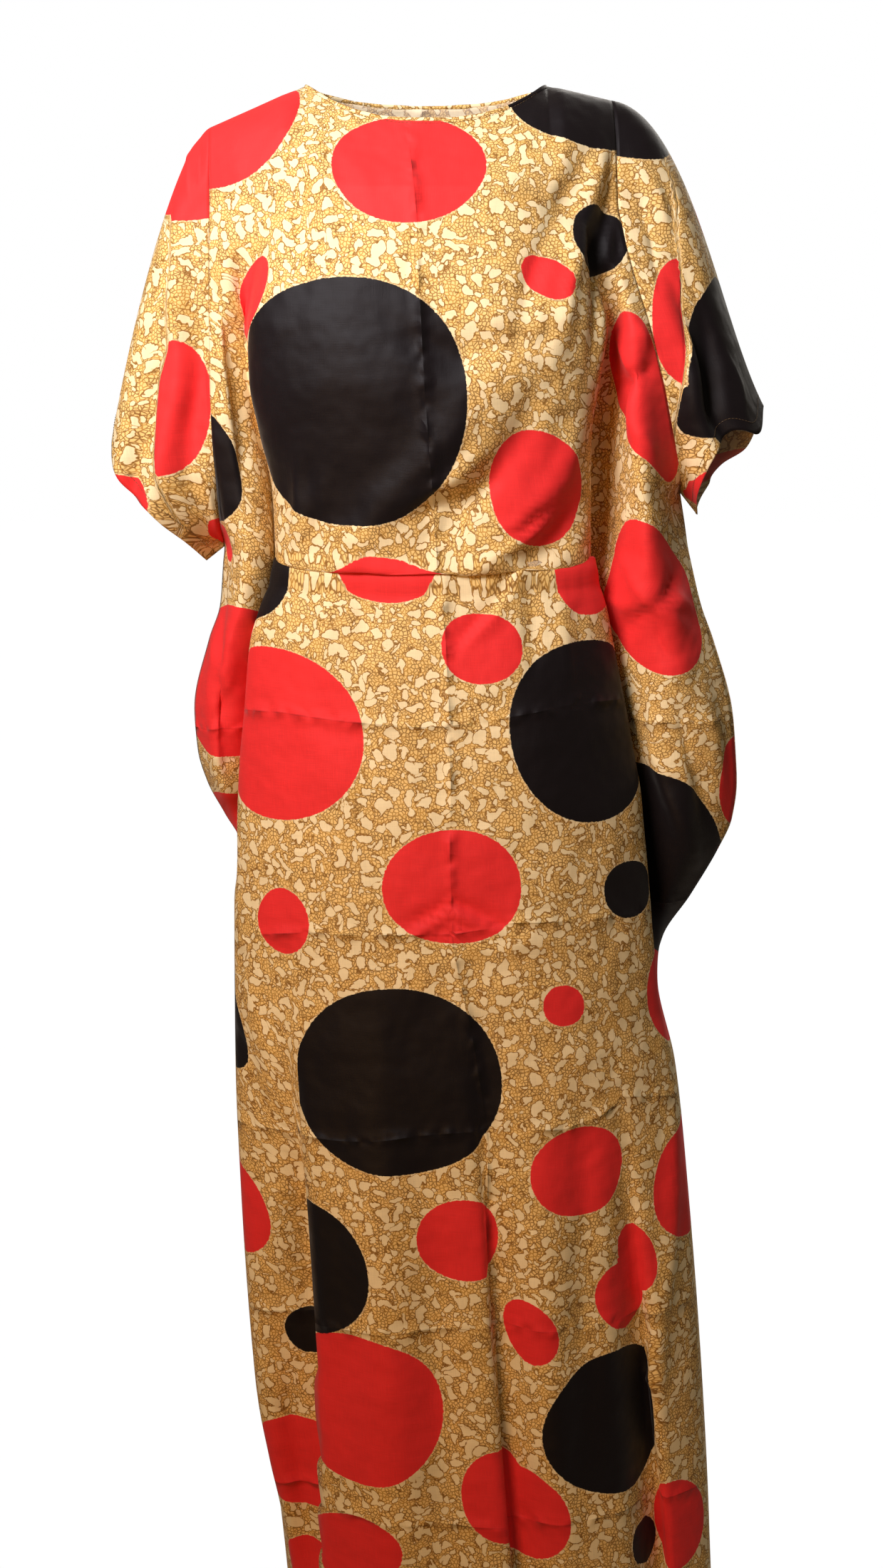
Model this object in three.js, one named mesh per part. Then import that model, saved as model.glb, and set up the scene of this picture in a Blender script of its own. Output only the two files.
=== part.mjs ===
// A baati: a loose, ankle-length kaftan dress with short wide sleeves, in the hollow form it takes when worn.
// A tie inside the waist draws in the middle of the front, so the spare width hangs as a wing at each side.
// Millimetres, +Z up. The origin is on the shoulder line, midway between the two neck points.
// +X is the right-hand side seen from the front, and the front faces -Y.

import * as THREE from "three";

// ---- Driving dimensions -------------------------------------------------------------------------
const LENGTH = 1420; // neck point to hem
const WALL = 1.5; // cloth thickness
const SEAM_GAP = 0.3; // between neighbouring pieces
const NECK_HALF = 102; // half the neckline's width
const NECK_FRONT = { forward: 52, drop: 34 }; // lowest point of the front neckline
const NECK_BACK = { forward: -48, drop: 10 }; // lowest point of the back neckline
const NECK_CURVE = 2.6; // how flat the neckline's bottom is
const BINDING = { height: 4, proud: 0.3, gap: 0.8 }; // narrow binding round the neck
const CHEST = -95; // the first level section below the shoulders
const BACK_POINTS = [ // across half of the back, as shares of the way to the seam and of the back's depth
  { across: 0, depth: 1, pinch: 0 },
  { across: 0.34, depth: 0.98, pinch: 0 },
  { across: 0.64, depth: 0.82, pinch: 0.3 },
  { across: 0.86, depth: 0.46, pinch: 1 },
  { across: 1, depth: 0, pinch: 0 },
];
const SHOULDER_STEPS = [0, 0.3, 0.56, 0.8]; // share of the way from shoulder line to chest

const CLOTH = { color: 0xc9a866, roughness: 0.72, metalness: 0, side: THREE.DoubleSide };

// ---- Section tables -----------------------------------------------------------------------------
// The trunk of the dress: x of the centre front, and depth of the cloth before and behind.
const TRUNK = [
  { z: -95, middle: 0, front: -97, back: 84 },
  { z: -128, middle: 0, front: -107, back: 90 },
  { z: -165, middle: 0, front: -117, back: 95 },
  { z: -205, middle: 1, front: -124, back: 98 },
  { z: -247, middle: 2, front: -126, back: 100 },
  { z: -293, middle: 4, front: -119, back: 101 },
  { z: -335, middle: 6, front: -108, back: 102 },
  { z: -368, middle: 7, front: -102, back: 103 },
  { z: -390, middle: 8, front: -101, back: 103 },
  { z: -398, middle: 8, front: -101, back: 103 },
  { z: -404, middle: 9, front: -92, back: 103 }, // the tie's groove
  { z: -412, middle: 9, front: -96, back: 104 },
  { z: -440, middle: 10, front: -102, back: 105 },
  { z: -470, middle: 11, front: -108, back: 107 },
  { z: -532, middle: 13, front: -117, back: 111 },
  { z: -600, middle: 16, front: -124, back: 116 },
  { z: -658, middle: 18, front: -127, back: 119 },
  { z: -745, middle: 21, front: -128, back: 120 },
  { z: -850, middle: 26, front: -129, back: 121 },
  { z: -960, middle: 32, front: -131, back: 123 },
  { z: -1150, middle: 43, front: -134, back: 127 },
  { z: -1290, middle: 52, front: -137, back: 131 },
  { z: -LENGTH, middle: 58, front: -140, back: 134 },
];

// Each side, from the drawn-in front outwards, as [distance from x = 0, y]:
// edge: where the front turns back. gap: bottom of the fold behind it. floor: inner side of the loose cloth.
// fall: face of the loose cloth. seam: armhole or side seam. pinch: how far the back is drawn in behind the wing.
const LEFT = [
  { z: -95, edge: [104, -76], gap: [126, -65], floor: [142, -58], fall: [160, -50], seam: [182, -36], pinch: 0 },
  { z: -128, edge: [116, -82], gap: [136, -67], floor: [149, -62], fall: [164, -56], seam: [182, -45], pinch: 0 },
  { z: -165, edge: [132, -85], gap: [146, -62], floor: [155, -59], fall: [168, -60], seam: [182, -52], pinch: 0 },
  { z: -205, edge: [144, -84], gap: [152, -48], floor: [158, -52], fall: [170, -62], seam: [182, -56], pinch: 0 },
  { z: -247, edge: [144, -80], gap: [150, -40], floor: [156, -46], fall: [168, -63], seam: [182, -58], pinch: 0 },
  { z: -293, edge: [136, -72], gap: [142, -28], floor: [148, -40], fall: [163, -62], seam: [181, -57], pinch: 0 },
  { z: -335, edge: [127, -64], gap: [133, -18], floor: [138, -38], fall: [156, -60], seam: [179, -46], pinch: 0 },
  { z: -368, edge: [126, -58], gap: [130, -10], floor: [135, -40], fall: [154, -58], seam: [178, -28], pinch: 2 },
  { z: -390, edge: [126, -54], gap: [129, -6], floor: [134, -42], fall: [153, -56], seam: [177, 0], pinch: 6 },
  { z: -404, edge: [127, -49], gap: [128, -2], floor: [134, -40], fall: [154, -54], seam: [178, -4], pinch: 8 },
  { z: -440, edge: [142, -50], gap: [132, 0], floor: [139, -34], fall: [160, -50], seam: [181, -6], pinch: 14 },
  { z: -470, edge: [151, -50], gap: [137, 2], floor: [146, -26], fall: [170, -46], seam: [191, -8], pinch: 20 },
  { z: -532, edge: [157, -50], gap: [143, 4], floor: [153, -20], fall: [182, -42], seam: [205, -8], pinch: 28 },
  { z: -569, edge: [161, -50], gap: [147, 4], floor: [157, -16], fall: [182, -38], seam: [203, -4], pinch: 26 },
  { z: -600, edge: [163, -50], gap: [150, 4], floor: [159, -12], fall: [178, -28], seam: [195, 2], pinch: 20 },
  { z: -630, edge: [164, -52], gap: [154, -4], floor: [160, -2], fall: [170, -4], seam: [181, 12], pinch: 10 },
  { z: -658, edge: [164, -54], gap: [159, -22], floor: [163, -4], fall: [167, 8], seam: [169, 22], pinch: 2 },
  { z: -702, edge: [164, -60], gap: [169, -36], floor: [171, -18], fall: [172, 2], seam: [171, 24], pinch: 0 },
  { z: -850, edge: [165, -60], gap: [170, -36], floor: [172, -18], fall: [172, 2], seam: [171, 24], pinch: 0 },
  { z: -960, edge: [161, -62], gap: [167, -38], floor: [169, -18], fall: [169, 2], seam: [168, 24], pinch: 0 },
  { z: -1150, edge: [150, -64], gap: [156, -40], floor: [158, -18], fall: [158, 4], seam: [157, 26], pinch: 0 },
  { z: -1220, edge: [140, -65], gap: [146, -41], floor: [148, -18], fall: [148, 4], seam: [147, 26], pinch: 0 },
  { z: -1290, edge: [129, -66], gap: [135, -42], floor: [137, -18], fall: [138, 4], seam: [137, 26], pinch: 0 },
  { z: -LENGTH, edge: [120, -68], gap: [126, -44], floor: [129, -18], fall: [130, 4], seam: [129, 26], pinch: 0 },
];

const RIGHT = [
  { z: -95, edge: [104, -76], gap: [120, -67], floor: [131, -61], fall: [144, -54], seam: [161, -41], pinch: 0 },
  { z: -128, edge: [119, -82], gap: [132, -68], floor: [141, -63], fall: [151, -59], seam: [166, -50], pinch: 0 },
  { z: -165, edge: [135, -86], gap: [145, -62], floor: [152, -58], fall: [162, -62], seam: [176, -55], pinch: 0 },
  { z: -205, edge: [147, -84], gap: [154, -46], floor: [160, -44], fall: [172, -68], seam: [189, -58], pinch: 0 },
  { z: -247, edge: [143, -78], gap: [147, -30], floor: [158, -28], fall: [176, -70], seam: [200, -56], pinch: 0 },
  { z: -293, edge: [137, -70], gap: [141, -16], floor: [154, -16], fall: [178, -72], seam: [211, -44], pinch: 4 },
  { z: -330, edge: [137, -64], gap: [141, -8], floor: [153, -8], fall: [182, -72], seam: [220, -24], pinch: 8 },
  { z: -345, edge: [138, -60], gap: [141, -6], floor: [153, -5], fall: [184, -71], seam: [223, 0], pinch: 10 },
  { z: -368, edge: [138, -57], gap: [141, -4], floor: [152, -3], fall: [186, -70], seam: [226, -8], pinch: 14 },
  { z: -390, edge: [139, -54], gap: [141, -2], floor: [152, -4], fall: [188, -68], seam: [229, -12], pinch: 18 },
  { z: -404, edge: [142, -49], gap: [141, 0], floor: [153, -14], fall: [190, -66], seam: [232, -14], pinch: 20 },
  { z: -440, edge: [155, -50], gap: [143, 2], floor: [162, -30], fall: [198, -62], seam: [241, -16], pinch: 26 },
  { z: -470, edge: [161, -50], gap: [149, 4], floor: [172, -34], fall: [206, -60], seam: [252, -18], pinch: 30 },
  { z: -532, edge: [174, -50], gap: [160, 6], floor: [184, -34], fall: [220, -58], seam: [270, -18], pinch: 34 },
  { z: -569, edge: [181, -50], gap: [166, 6], floor: [190, -32], fall: [226, -56], seam: [274, -16], pinch: 34 },
  { z: -600, edge: [187, -50], gap: [171, 6], floor: [194, -30], fall: [228, -52], seam: [276, -14], pinch: 32 },
  { z: -630, edge: [190, -50], gap: [175, 6], floor: [196, -26], fall: [228, -47], seam: [273, -10], pinch: 30 },
  { z: -658, edge: [193, -50], gap: [179, 4], floor: [198, -20], fall: [226, -38], seam: [262, -6], pinch: 26 },
  { z: -702, edge: [197, -52], gap: [187, -4], floor: [200, -10], fall: [216, -18], seam: [239, 2], pinch: 16 },
  { z: -745, edge: [200, -56], gap: [200, -26], floor: [205, -10], fall: [211, 2], seam: [216, 18], pinch: 4 },
  { z: -784, edge: [202, -60], gap: [207, -36], floor: [209, -18], fall: [210, 2], seam: [209, 24], pinch: 0 },
  { z: -850, edge: [216, -60], gap: [223, -36], floor: [225, -18], fall: [225, 2], seam: [223, 26], pinch: 0 },
  { z: -960, edge: [229, -62], gap: [236, -38], floor: [238, -18], fall: [238, 2], seam: [236, 26], pinch: 0 },
  { z: -1150, edge: [245, -64], gap: [253, -40], floor: [255, -18], fall: [255, 4], seam: [253, 28], pinch: 0 },
  { z: -1290, edge: [254, -66], gap: [262, -42], floor: [264, -18], fall: [264, 4], seam: [262, 28], pinch: 0 },
  { z: -LENGTH, edge: [259, -68], gap: [267, -44], floor: [269, -18], fall: [269, 4], seam: [267, 28], pinch: 0 },
];

const SIDES = {
  left: { sign: -1, table: LEFT, shoulder: { out: 183, drop: 34 }, underarm: -390 },
  right: { sign: 1, table: RIGHT, shoulder: { out: 157, drop: 12 }, underarm: -345 },
};

// Long folds of the skirt: x at the top and bottom, the two heights, how deep they grow and how wide they are
// towards the left and the right. face is the panel they are in.
const FOLDS = [
  { face: "front", x: [-106, -90], z: [-760, -1180], depth: 24, left: 34, right: 16 },
  { face: "front", x: [34, 84], z: [-700, -1420], depth: 13, left: 20, right: 20 },
  { face: "front", x: [164, 214], z: [-790, -1400], depth: 26, left: 22, right: 20 },
  { face: "back", x: [-62, -48], z: [-420, -1420], depth: 14, left: 34, right: 30 },
  { face: "back", x: [30, 60], z: [-300, -1420], depth: 12, left: 30, right: 34 },
  { face: "back", x: [120, 170], z: [-520, -1420], depth: 15, left: 34, right: 28 },
];

// Cuffs as [out, y, z], from the top of the sleeve round its front or back to the underarm. lift says how far out
// and up the sleeve's top runs from the straight line, a third and two thirds of the way down.
const CUFFS = {
  left: {
    front: [[266, 0, -270], [269, -36, -300], [262, -60, -331], [243, -68, -349], [226, -62, -367], [207, -40, -384], [193, 2, -402]],
    back: [[266, 0, -270], [270, 34, -298], [264, 58, -328], [246, 66, -352], [228, 58, -372], [208, 38, -390], [193, 2, -402]],
    lift: [[0, 68], [12, 11]],
  },
  right: {
    front: [[294, 0, -268], [286, -28, -292], [264, -46, -288], [250, -54, -304], [240, -50, -322], [234, -30, -344], [238, 2, -362]],
    back: [[294, 0, -268], [284, 30, -304], [266, 48, -318], [254, 54, -334], [246, 46, -348], [240, 28, -360], [238, 2, -362]],
    lift: [[22, 79], [6, -14]],
  },
};

// Folds that run down a sleeve: place round the ring (0 top, 1 underarm), width, depth at the cuff.
const SLEEVE_FOLDS = {
  left: [
    { half: "front", at: 0.44, width: 0.09, depth: 12 },
    { half: "back", at: 0.5, width: 0.14, depth: 9 },
  ],
  right: [
    { half: "front", at: 0.4, width: 0.09, depth: 12 },
    { half: "back", at: 0.46, width: 0.14, depth: 9 },
  ],
};
const SLEEVE_STEPS = 8;

// Heights of the rows below the shoulders, shared by every panel so that their seams run parallel.
const ROWS = [
  -95, -128, -165, -205, -247, -293, -330, -345, -368, -390, -398, -404, -412, -440, -470, -500, -532, -569, -600,
  -630, -658, -702, -745, -784, -850, -905, -960, -1025, -1090, -1150, -1220, -1290, -1355, -LENGTH,
];

// Stations across half of the front, from the centre out, with the number of columns up to the next one.
const FRONT_COLUMNS = [4, 6, 3, 2, 2, 3]; // centre, middle, edge, gap, floor, fall, seam
const BACK_COLUMNS = 12; // across half of the back

// ---- Small tools --------------------------------------------------------------------------------
const mix = THREE.MathUtils.lerp;

// A value from a table sorted from the top down, smooth and without overshoot between its rows.
function sample(table, z, pick) {
  const last = table.length - 1;
  if (z >= table[0].z) return pick(table[0]);
  if (z <= table[last].z) return pick(table[last]);
  const slope = (i) => (pick(table[i + 1]) - pick(table[i])) / (table[i + 1].z - table[i].z);
  const tangent = (i) => {
    if (i === 0 || i === last) return 0;
    const above = slope(i - 1);
    const below = slope(i);
    return above * below <= 0 ? 0 : (2 * above * below) / (above + below);
  };
  const i = table.findIndex((row, n) => n < last && z <= row.z && z > table[n + 1].z);
  const span = table[i + 1].z - table[i].z;
  const t = (z - table[i].z) / span;
  const ease = t * t * (3 - 2 * t);
  const rise = span * (t * (1 - t) * (1 - t) * tangent(i) - t * t * (1 - t) * tangent(i + 1));
  return mix(pick(table[i]), pick(table[i + 1]), ease) + rise;
}

const pair = (side, z, name) => [
  side.sign * sample(side.table, z, (row) => row[name][0]),
  sample(side.table, z, (row) => row[name][1]),
];

// How far a point is pushed into the dress by the long folds of its face.
function foldDepth(face, x, z) {
  let depth = 0;
  for (const fold of FOLDS) {
    if (fold.face !== face || z >= fold.z[0]) continue;
    const down = Math.min(1, (z - fold.z[0]) / (fold.z[1] - fold.z[0]));
    const offset = x - mix(fold.x[0], fold.x[1], down);
    const share = offset / (offset < 0 ? fold.left : fold.right);
    depth += fold.depth * THREE.MathUtils.smoothstep(down, 0, 0.7) * Math.exp(-share * share * 2);
  }
  return depth;
}

// ---- The dress's surface ------------------------------------------------------------------------
// The neckline as seen from above: share runs from 0 at its middle to 1 at the neck point.
function neckline(side, share, neck) {
  const angle = (share * Math.PI) / 2;
  const out = Math.sin(angle);
  return new THREE.Vector3(
    side.sign * NECK_HALF * out,
    -neck.forward * Math.cos(angle),
    -neck.drop * (1 - out ** NECK_CURVE),
  );
}

// The upper edge of a panel at a station, where 0 to 2 is the neckline and 2 to 6 the shoulder seam.
function upperEdge(side, station, neck) {
  if (station <= 2) return neckline(side, station / 2, neck);
  const share = (station - 2) / 4;
  return new THREE.Vector3(
    side.sign * mix(NECK_HALF, side.shoulder.out, share),
    0,
    -side.shoulder.drop * share,
  );
}

// Half of the level section at height z: the points at stations 0 to 6.
function frontStations(side, z) {
  const middle = sample(TRUNK, z, (row) => row.middle);
  const front = sample(TRUNK, z, (row) => row.front);
  const edge = pair(side, z, "edge");
  const half = [mix(middle, edge[0], 0.55), mix(front, edge[1], 0.17)];
  const rest = ["gap", "floor", "fall", "seam"].map((name) => pair(side, z, name));
  return [[middle, front], half, edge, ...rest].map(([x, y]) => new THREE.Vector3(x, y, z));
}

// The whole front section as a curve, from the left seam to the right one.
function frontCurve(z) {
  const left = frontStations(SIDES.left, z).reverse();
  const right = frontStations(SIDES.right, z).slice(1);
  return new THREE.CatmullRomCurve3([...left, ...right], false, "centripetal");
}

// 1 over the middle of a panel, down to 0 at its seams.
const atMiddle = (station) => 1 - THREE.MathUtils.smoothstep(station, 2, 6);

function frontPoint(curve, z, side, station) {
  const point = curve.getPoint((6 + side.sign * station) / 12);
  point.y += foldDepth("front", point.x, z) * atMiddle(station);
  return point;
}

// The back section as a curve, from the left seam to the right one.
function backCurve(z) {
  const middle = sample(TRUNK, z, (row) => row.middle);
  const back = sample(TRUNK, z, (row) => row.back);
  const half = (side) => {
    const [seamX, frontY] = pair(side, z, "seam");
    const seamY = z >= side.underarm ? -frontY : frontY;
    const pinch = sample(side.table, z, (row) => row.pinch);
    return BACK_POINTS.map(
      (at) => new THREE.Vector3(mix(middle, seamX, at.across), mix(seamY, back, at.depth) - at.pinch * pinch, z),
    );
  };
  return new THREE.CatmullRomCurve3([...half(SIDES.left).reverse(), ...half(SIDES.right).slice(1)], false, "centripetal");
}

function backPoint(curve, z, side, station) {
  const point = curve.getPoint((6 + side.sign * station) / 12);
  point.y -= foldDepth("back", point.x, z) * atMiddle(station);
  return point;
}

// Rounds the cloth over from the shoulder line to the chest, less so below the neckline.
function shoulderPoint(top, chest, share, station) {
  const round = THREE.MathUtils.smoothstep(station, 0.6, 3);
  const angle = (share * Math.PI) / 2;
  return new THREE.Vector3(
    mix(top.x, chest.x, share),
    mix(top.y, chest.y, mix(share, Math.sin(angle), round)),
    mix(top.z, chest.z, mix(share, 1 - Math.cos(angle), round)),
  );
}

// ---- Walls --------------------------------------------------------------------------------------
// Outward normals of a grid of points, rows running down or along and columns across.
function normalsOf(grid, ring) {
  const columns = grid[0].length;
  return grid.map((row, j) =>
    row.map((_, i) => {
      const left = ring ? (i + columns - 1) % columns : Math.max(0, i - 1);
      const right = ring ? (i + 1) % columns : Math.min(columns - 1, i + 1);
      const down = grid[Math.min(grid.length - 1, j + 1)][i].clone().sub(grid[Math.max(0, j - 1)][i]);
      const across = row[right].clone().sub(row[left]);
      return down.cross(across).normalize();
    }),
  );
}

// A closed wall of the cloth's thickness: grid is its outer face, and its inner face lies against the normals.
function wallGeometry(grid, normals, ring) {
  const rows = grid.length;
  const columns = grid[0].length;
  const inner = grid.map((row, j) => row.map((point, i) => point.clone().addScaledVector(normals[j][i], -WALL)));
  const positions = [...grid.flat(), ...inner.flat()].flatMap((point) => point.toArray());
  const outer = (j, i) => j * columns + (i % columns);
  const within = (j, i) => rows * columns + outer(j, i);
  const triangles = [];
  const quad = (a, b, c, d) => triangles.push(a, b, c, a, c, d);
  const spans = ring ? columns : columns - 1;
  for (let j = 0; j < rows - 1; j++) {
    for (let i = 0; i < spans; i++) {
      quad(outer(j, i), outer(j + 1, i), outer(j + 1, i + 1), outer(j, i + 1));
      quad(within(j, i), within(j, i + 1), within(j + 1, i + 1), within(j + 1, i));
    }
    if (!ring) {
      quad(outer(j, 0), within(j, 0), within(j + 1, 0), outer(j + 1, 0));
      quad(outer(j, spans), outer(j + 1, spans), within(j + 1, spans), within(j, spans));
    }
  }
  for (let i = 0; i < spans; i++) {
    quad(outer(0, i), outer(0, i + 1), within(0, i + 1), within(0, i));
    quad(outer(rows - 1, i), within(rows - 1, i), within(rows - 1, i + 1), outer(rows - 1, i + 1));
  }
  return new THREE.BufferGeometry()
    .setAttribute("position", new THREE.Float32BufferAttribute(positions, 3))
    .setIndex(triangles);
}

function named(name, geometry) {
  geometry.computeVertexNormals();
  const mesh = new THREE.Mesh(geometry, new THREE.MeshStandardMaterial(CLOTH));
  mesh.name = name;
  return mesh;
}

// ---- Front and back panels ----------------------------------------------------------------------
const halfStations = FRONT_COLUMNS.flatMap((count, n) =>
  Array.from({ length: count }, (_, k) => n + k / count),
).concat(6);
const backStations = Array.from({ length: BACK_COLUMNS + 1 }, (_, k) => (6 * k) / BACK_COLUMNS);

// Columns of a panel in order, each with its side and station. The front runs left to right, the back right to left.
function columnsOf(stations, first, second) {
  const out = stations.slice(1).map((station) => ({ side: second, station }));
  return [...stations.map((station) => ({ side: first, station })).reverse(), ...out];
}
const FRONT = columnsOf(halfStations, SIDES.left, SIDES.right);
const BACK = columnsOf(backStations, SIDES.right, SIDES.left);

function panelGrid(columns, neck, levelPoint) {
  const chest = columns.map((column) => levelPoint(CHEST, column));
  const upper = SHOULDER_STEPS.map((share) =>
    columns.map(({ side, station }, i) =>
      shoulderPoint(upperEdge(side, station, neck), chest[i], share, station),
    ),
  );
  return [...upper, ...ROWS.map((z) => columns.map((column) => levelPoint(z, column)))];
}

function gridOf(columns, neck, curveAt, pointAt) {
  const curves = new Map(ROWS.map((z) => [z, curveAt(z)]));
  return panelGrid(columns, neck, (z, { side, station }) => pointAt(curves.get(z), z, side, station));
}

// Turns a normal square to a direction, so that two walls that meet there keep their gap all the way through.
function squareTo(normal, direction) {
  return normal.addScaledVector(direction, -normal.dot(direction) / direction.lengthSq()).normalize();
}

const DEPTH_AXIS = new THREE.Vector3(0, 1, 0);

// Parts the panel from its neighbour along the shoulder and side seams by half a gap, and squares its edges there.
function openSeams(grid, normals, columns, toFront) {
  const shift = (toFront ? -1 : 1) * (SEAM_GAP / 2);
  grid.forEach((row, j) =>
    row.forEach((point, i) => {
      const { side, station } = columns[i];
      const shoulder = j === 0 && station >= 2;
      const sideSeam = station === 6 && point.z <= side.underarm;
      if (!shoulder && !sideSeam) return;
      if (sideSeam) normals[j][i].set(side.sign, 0, 0);
      else squareTo(normals[j][i], DEPTH_AXIS);
      point.y += shift;
    }),
  );
}

function panel(grid, columns, toFront) {
  const normals = normalsOf(grid, false);
  openSeams(grid, normals, columns, toFront);
  return { grid, normals };
}

const front = panel(gridOf(FRONT, NECK_FRONT, frontCurve, frontPoint), FRONT, true);
const back = panel(gridOf(BACK, NECK_BACK, backCurve, backPoint), BACK, false);

// ---- Sleeves ------------------------------------------------------------------------------------
// One edge of an armhole from the shoulder down to the underarm, as points with their wall's normals.
function armholeEdge({ grid, normals }, column, side) {
  return grid
    .map((row, j) => ({ point: row[column].clone(), normal: normals[j][column].clone() }))
    .filter(({ point }) => point.z >= side.underarm - 1);
}

// The armhole as a ring: down the front edge and up the back one, with shared ends at shoulder and underarm.
function armhole(name) {
  const side = SIDES[name];
  const atLeft = name === "left";
  const down = armholeEdge(front, atLeft ? 0 : FRONT.length - 1, side);
  const up = armholeEdge(back, atLeft ? BACK.length - 1 : 0, side);
  down[0].point.y = 0;
  down[down.length - 1].point.y = 0;
  for (const edge of [down, up]) {
    edge.forEach((entry, n) => {
      const along = edge[Math.min(edge.length - 1, n + 1)].point.clone().sub(edge[Math.max(0, n - 1)].point);
      entry.outward = along.cross(entry.normal).normalize();
      if (entry.outward.x * side.sign < 0) entry.outward.negate();
    });
    edge[edge.length - 1].outward.set(side.sign * 0.3, 0, 1).normalize(); // at the underarm, up off the side seam
  }
  const steps = down.length - 1;
  const ring = [
    ...down.map((entry, n) => ({ ...entry, half: "front", share: n / steps })),
    ...up.slice(1, -1).map((entry, n) => ({ ...entry, half: "back", share: (n + 1) / steps })).reverse(),
  ];
  return atLeft ? ring : [ring[0], ...ring.slice(1).reverse()];
}

function cuffPoint(name, half, share) {
  const { sign } = SIDES[name];
  const points = CUFFS[name][half].map(([out, y, z]) => new THREE.Vector3(sign * out, y, z));
  return new THREE.CatmullRomCurve3(points, false, "centripetal").getPoint(share);
}

function sleeveFold(name, { half, share }, along) {
  return SLEEVE_FOLDS[name]
    .filter((fold) => fold.half === half)
    .reduce((sum, fold) => sum + fold.depth * along * Math.exp(-(((share - fold.at) / fold.width) ** 2)), 0);
}

function sleeve(name) {
  const { sign } = SIDES[name];
  const ring = armhole(name);
  const { lift } = CUFFS[name];
  const grid = Array.from({ length: SLEEVE_STEPS + 1 }, (_, k) => {
    const along = k / SLEEVE_STEPS;
    return ring.map(({ point, outward, half, share }) => {
      const start = point.clone().addScaledVector(outward, SEAM_GAP);
      const end = cuffPoint(name, half, share);
      const top = Math.cos((share * Math.PI) / 2) ** 1.2;
      const [third, second] = lift.map(([out, up], n) =>
        start.clone().lerp(end, (n + 1) / 3).add(new THREE.Vector3(sign * out * top, 0, up * top)),
      );
      return new THREE.CubicBezierCurve3(start, third, second, end).getPoint(along);
    });
  });
  const flat = normalsOf(grid, true);
  grid.forEach((row, k) =>
    row.forEach((point, i) => point.addScaledVector(flat[k][i], -sleeveFold(name, ring[i], k / SLEEVE_STEPS))),
  );
  const normals = normalsOf(grid, true);
  normals[0] = ring.map(({ normal }) => normal);
  return { grid, normals };
}

// ---- Neck binding -------------------------------------------------------------------------------
// A narrow folded strip that stands on the neckline all round.
function bindingGeometry() {
  const across = ({ grid, normals }, columns) =>
    columns
      .map(({ station }, i) => ({ station, point: grid[0][i].clone(), normal: normals[0][i].clone() }))
      .filter(({ station }) => station <= 2);
  const ring = [...across(front, FRONT), ...across(back, BACK).slice(1, -1)];
  const count = ring.length;
  for (const { point, station } of ring) if (station === 2) point.y = 0;
  const sections = ring.map(({ point, normal }, i) => {
    const along = ring[(i + 1) % count].point.clone().sub(ring[(i + count - 1) % count].point);
    const inward = normal.clone().cross(along).normalize();
    const face = along.clone().cross(inward).normalize();
    if (inward.dot(point) > 0) inward.negate();
    const corner = (rise, out) => point.clone().addScaledVector(inward, rise).addScaledVector(face, out);
    const low = BINDING.gap;
    const high = BINDING.gap + BINDING.height;
    const outside = BINDING.proud;
    const inside = -WALL - BINDING.proud;
    return [corner(low, outside), corner(high, outside), corner(high, inside), corner(low, inside)];
  });
  const corners = sections[0].length;
  const triangles = [];
  for (let i = 0; i < count; i++) {
    for (let k = 0; k < corners; k++) {
      const here = i * corners + k;
      const up = i * corners + ((k + 1) % corners);
      const next = ((i + 1) % count) * corners;
      triangles.push(here, next + k, next + ((k + 1) % corners));
      triangles.push(here, next + ((k + 1) % corners), up);
    }
  }
  return new THREE.BufferGeometry()
    .setAttribute("position", new THREE.Float32BufferAttribute(sections.flat().flatMap((p) => p.toArray()), 3))
    .setIndex(triangles);
}

// ---- The dress ----------------------------------------------------------------------------------
const baati = new THREE.Group();
baati.name = "baati";
baati.add(named("front", wallGeometry(front.grid, front.normals, false)));
baati.add(named("back", wallGeometry(back.grid, back.normals, false)));
for (const name of ["left", "right"]) {
  const { grid, normals } = sleeve(name);
  baati.add(named(`sleeve_${name}`, wallGeometry(grid, normals, true)));
}
baati.add(named("neck_binding", bindingGeometry()));

export default baati;
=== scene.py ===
"""A baati: a loose kaftan dress of printed cloth with short wide sleeves, drawn in at the front waist.

The cloth is worked out in millimetres from short tables of level sections, and built in metres in the frame
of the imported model: +Z up, the front towards -Y, the origin on the shoulder line between the two neck points.
"""

import math

import bpy
import numpy as np
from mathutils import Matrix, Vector


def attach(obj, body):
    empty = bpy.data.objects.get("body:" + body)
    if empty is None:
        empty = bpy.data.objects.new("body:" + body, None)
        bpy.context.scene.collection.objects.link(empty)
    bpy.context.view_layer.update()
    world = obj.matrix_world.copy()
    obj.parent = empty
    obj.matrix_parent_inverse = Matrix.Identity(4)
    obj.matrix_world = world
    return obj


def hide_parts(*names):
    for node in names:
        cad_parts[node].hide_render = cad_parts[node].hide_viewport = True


bl_info = {
    "name": "Baati Dress",
    "version": (1, 0, 0),
    "blender": (4, 5, 0),
    "location": "3D View > Sidebar > Baati",
    "description": "Makes a worn baati dress, piece by piece, round its packed model",
    "category": "Object",
}

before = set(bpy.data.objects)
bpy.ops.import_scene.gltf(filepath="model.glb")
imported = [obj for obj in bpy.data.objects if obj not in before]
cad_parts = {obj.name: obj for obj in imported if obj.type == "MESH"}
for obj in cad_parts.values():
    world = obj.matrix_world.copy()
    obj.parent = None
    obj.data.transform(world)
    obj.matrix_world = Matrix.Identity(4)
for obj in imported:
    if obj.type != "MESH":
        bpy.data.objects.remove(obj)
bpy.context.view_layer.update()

MM = 0.001

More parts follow.
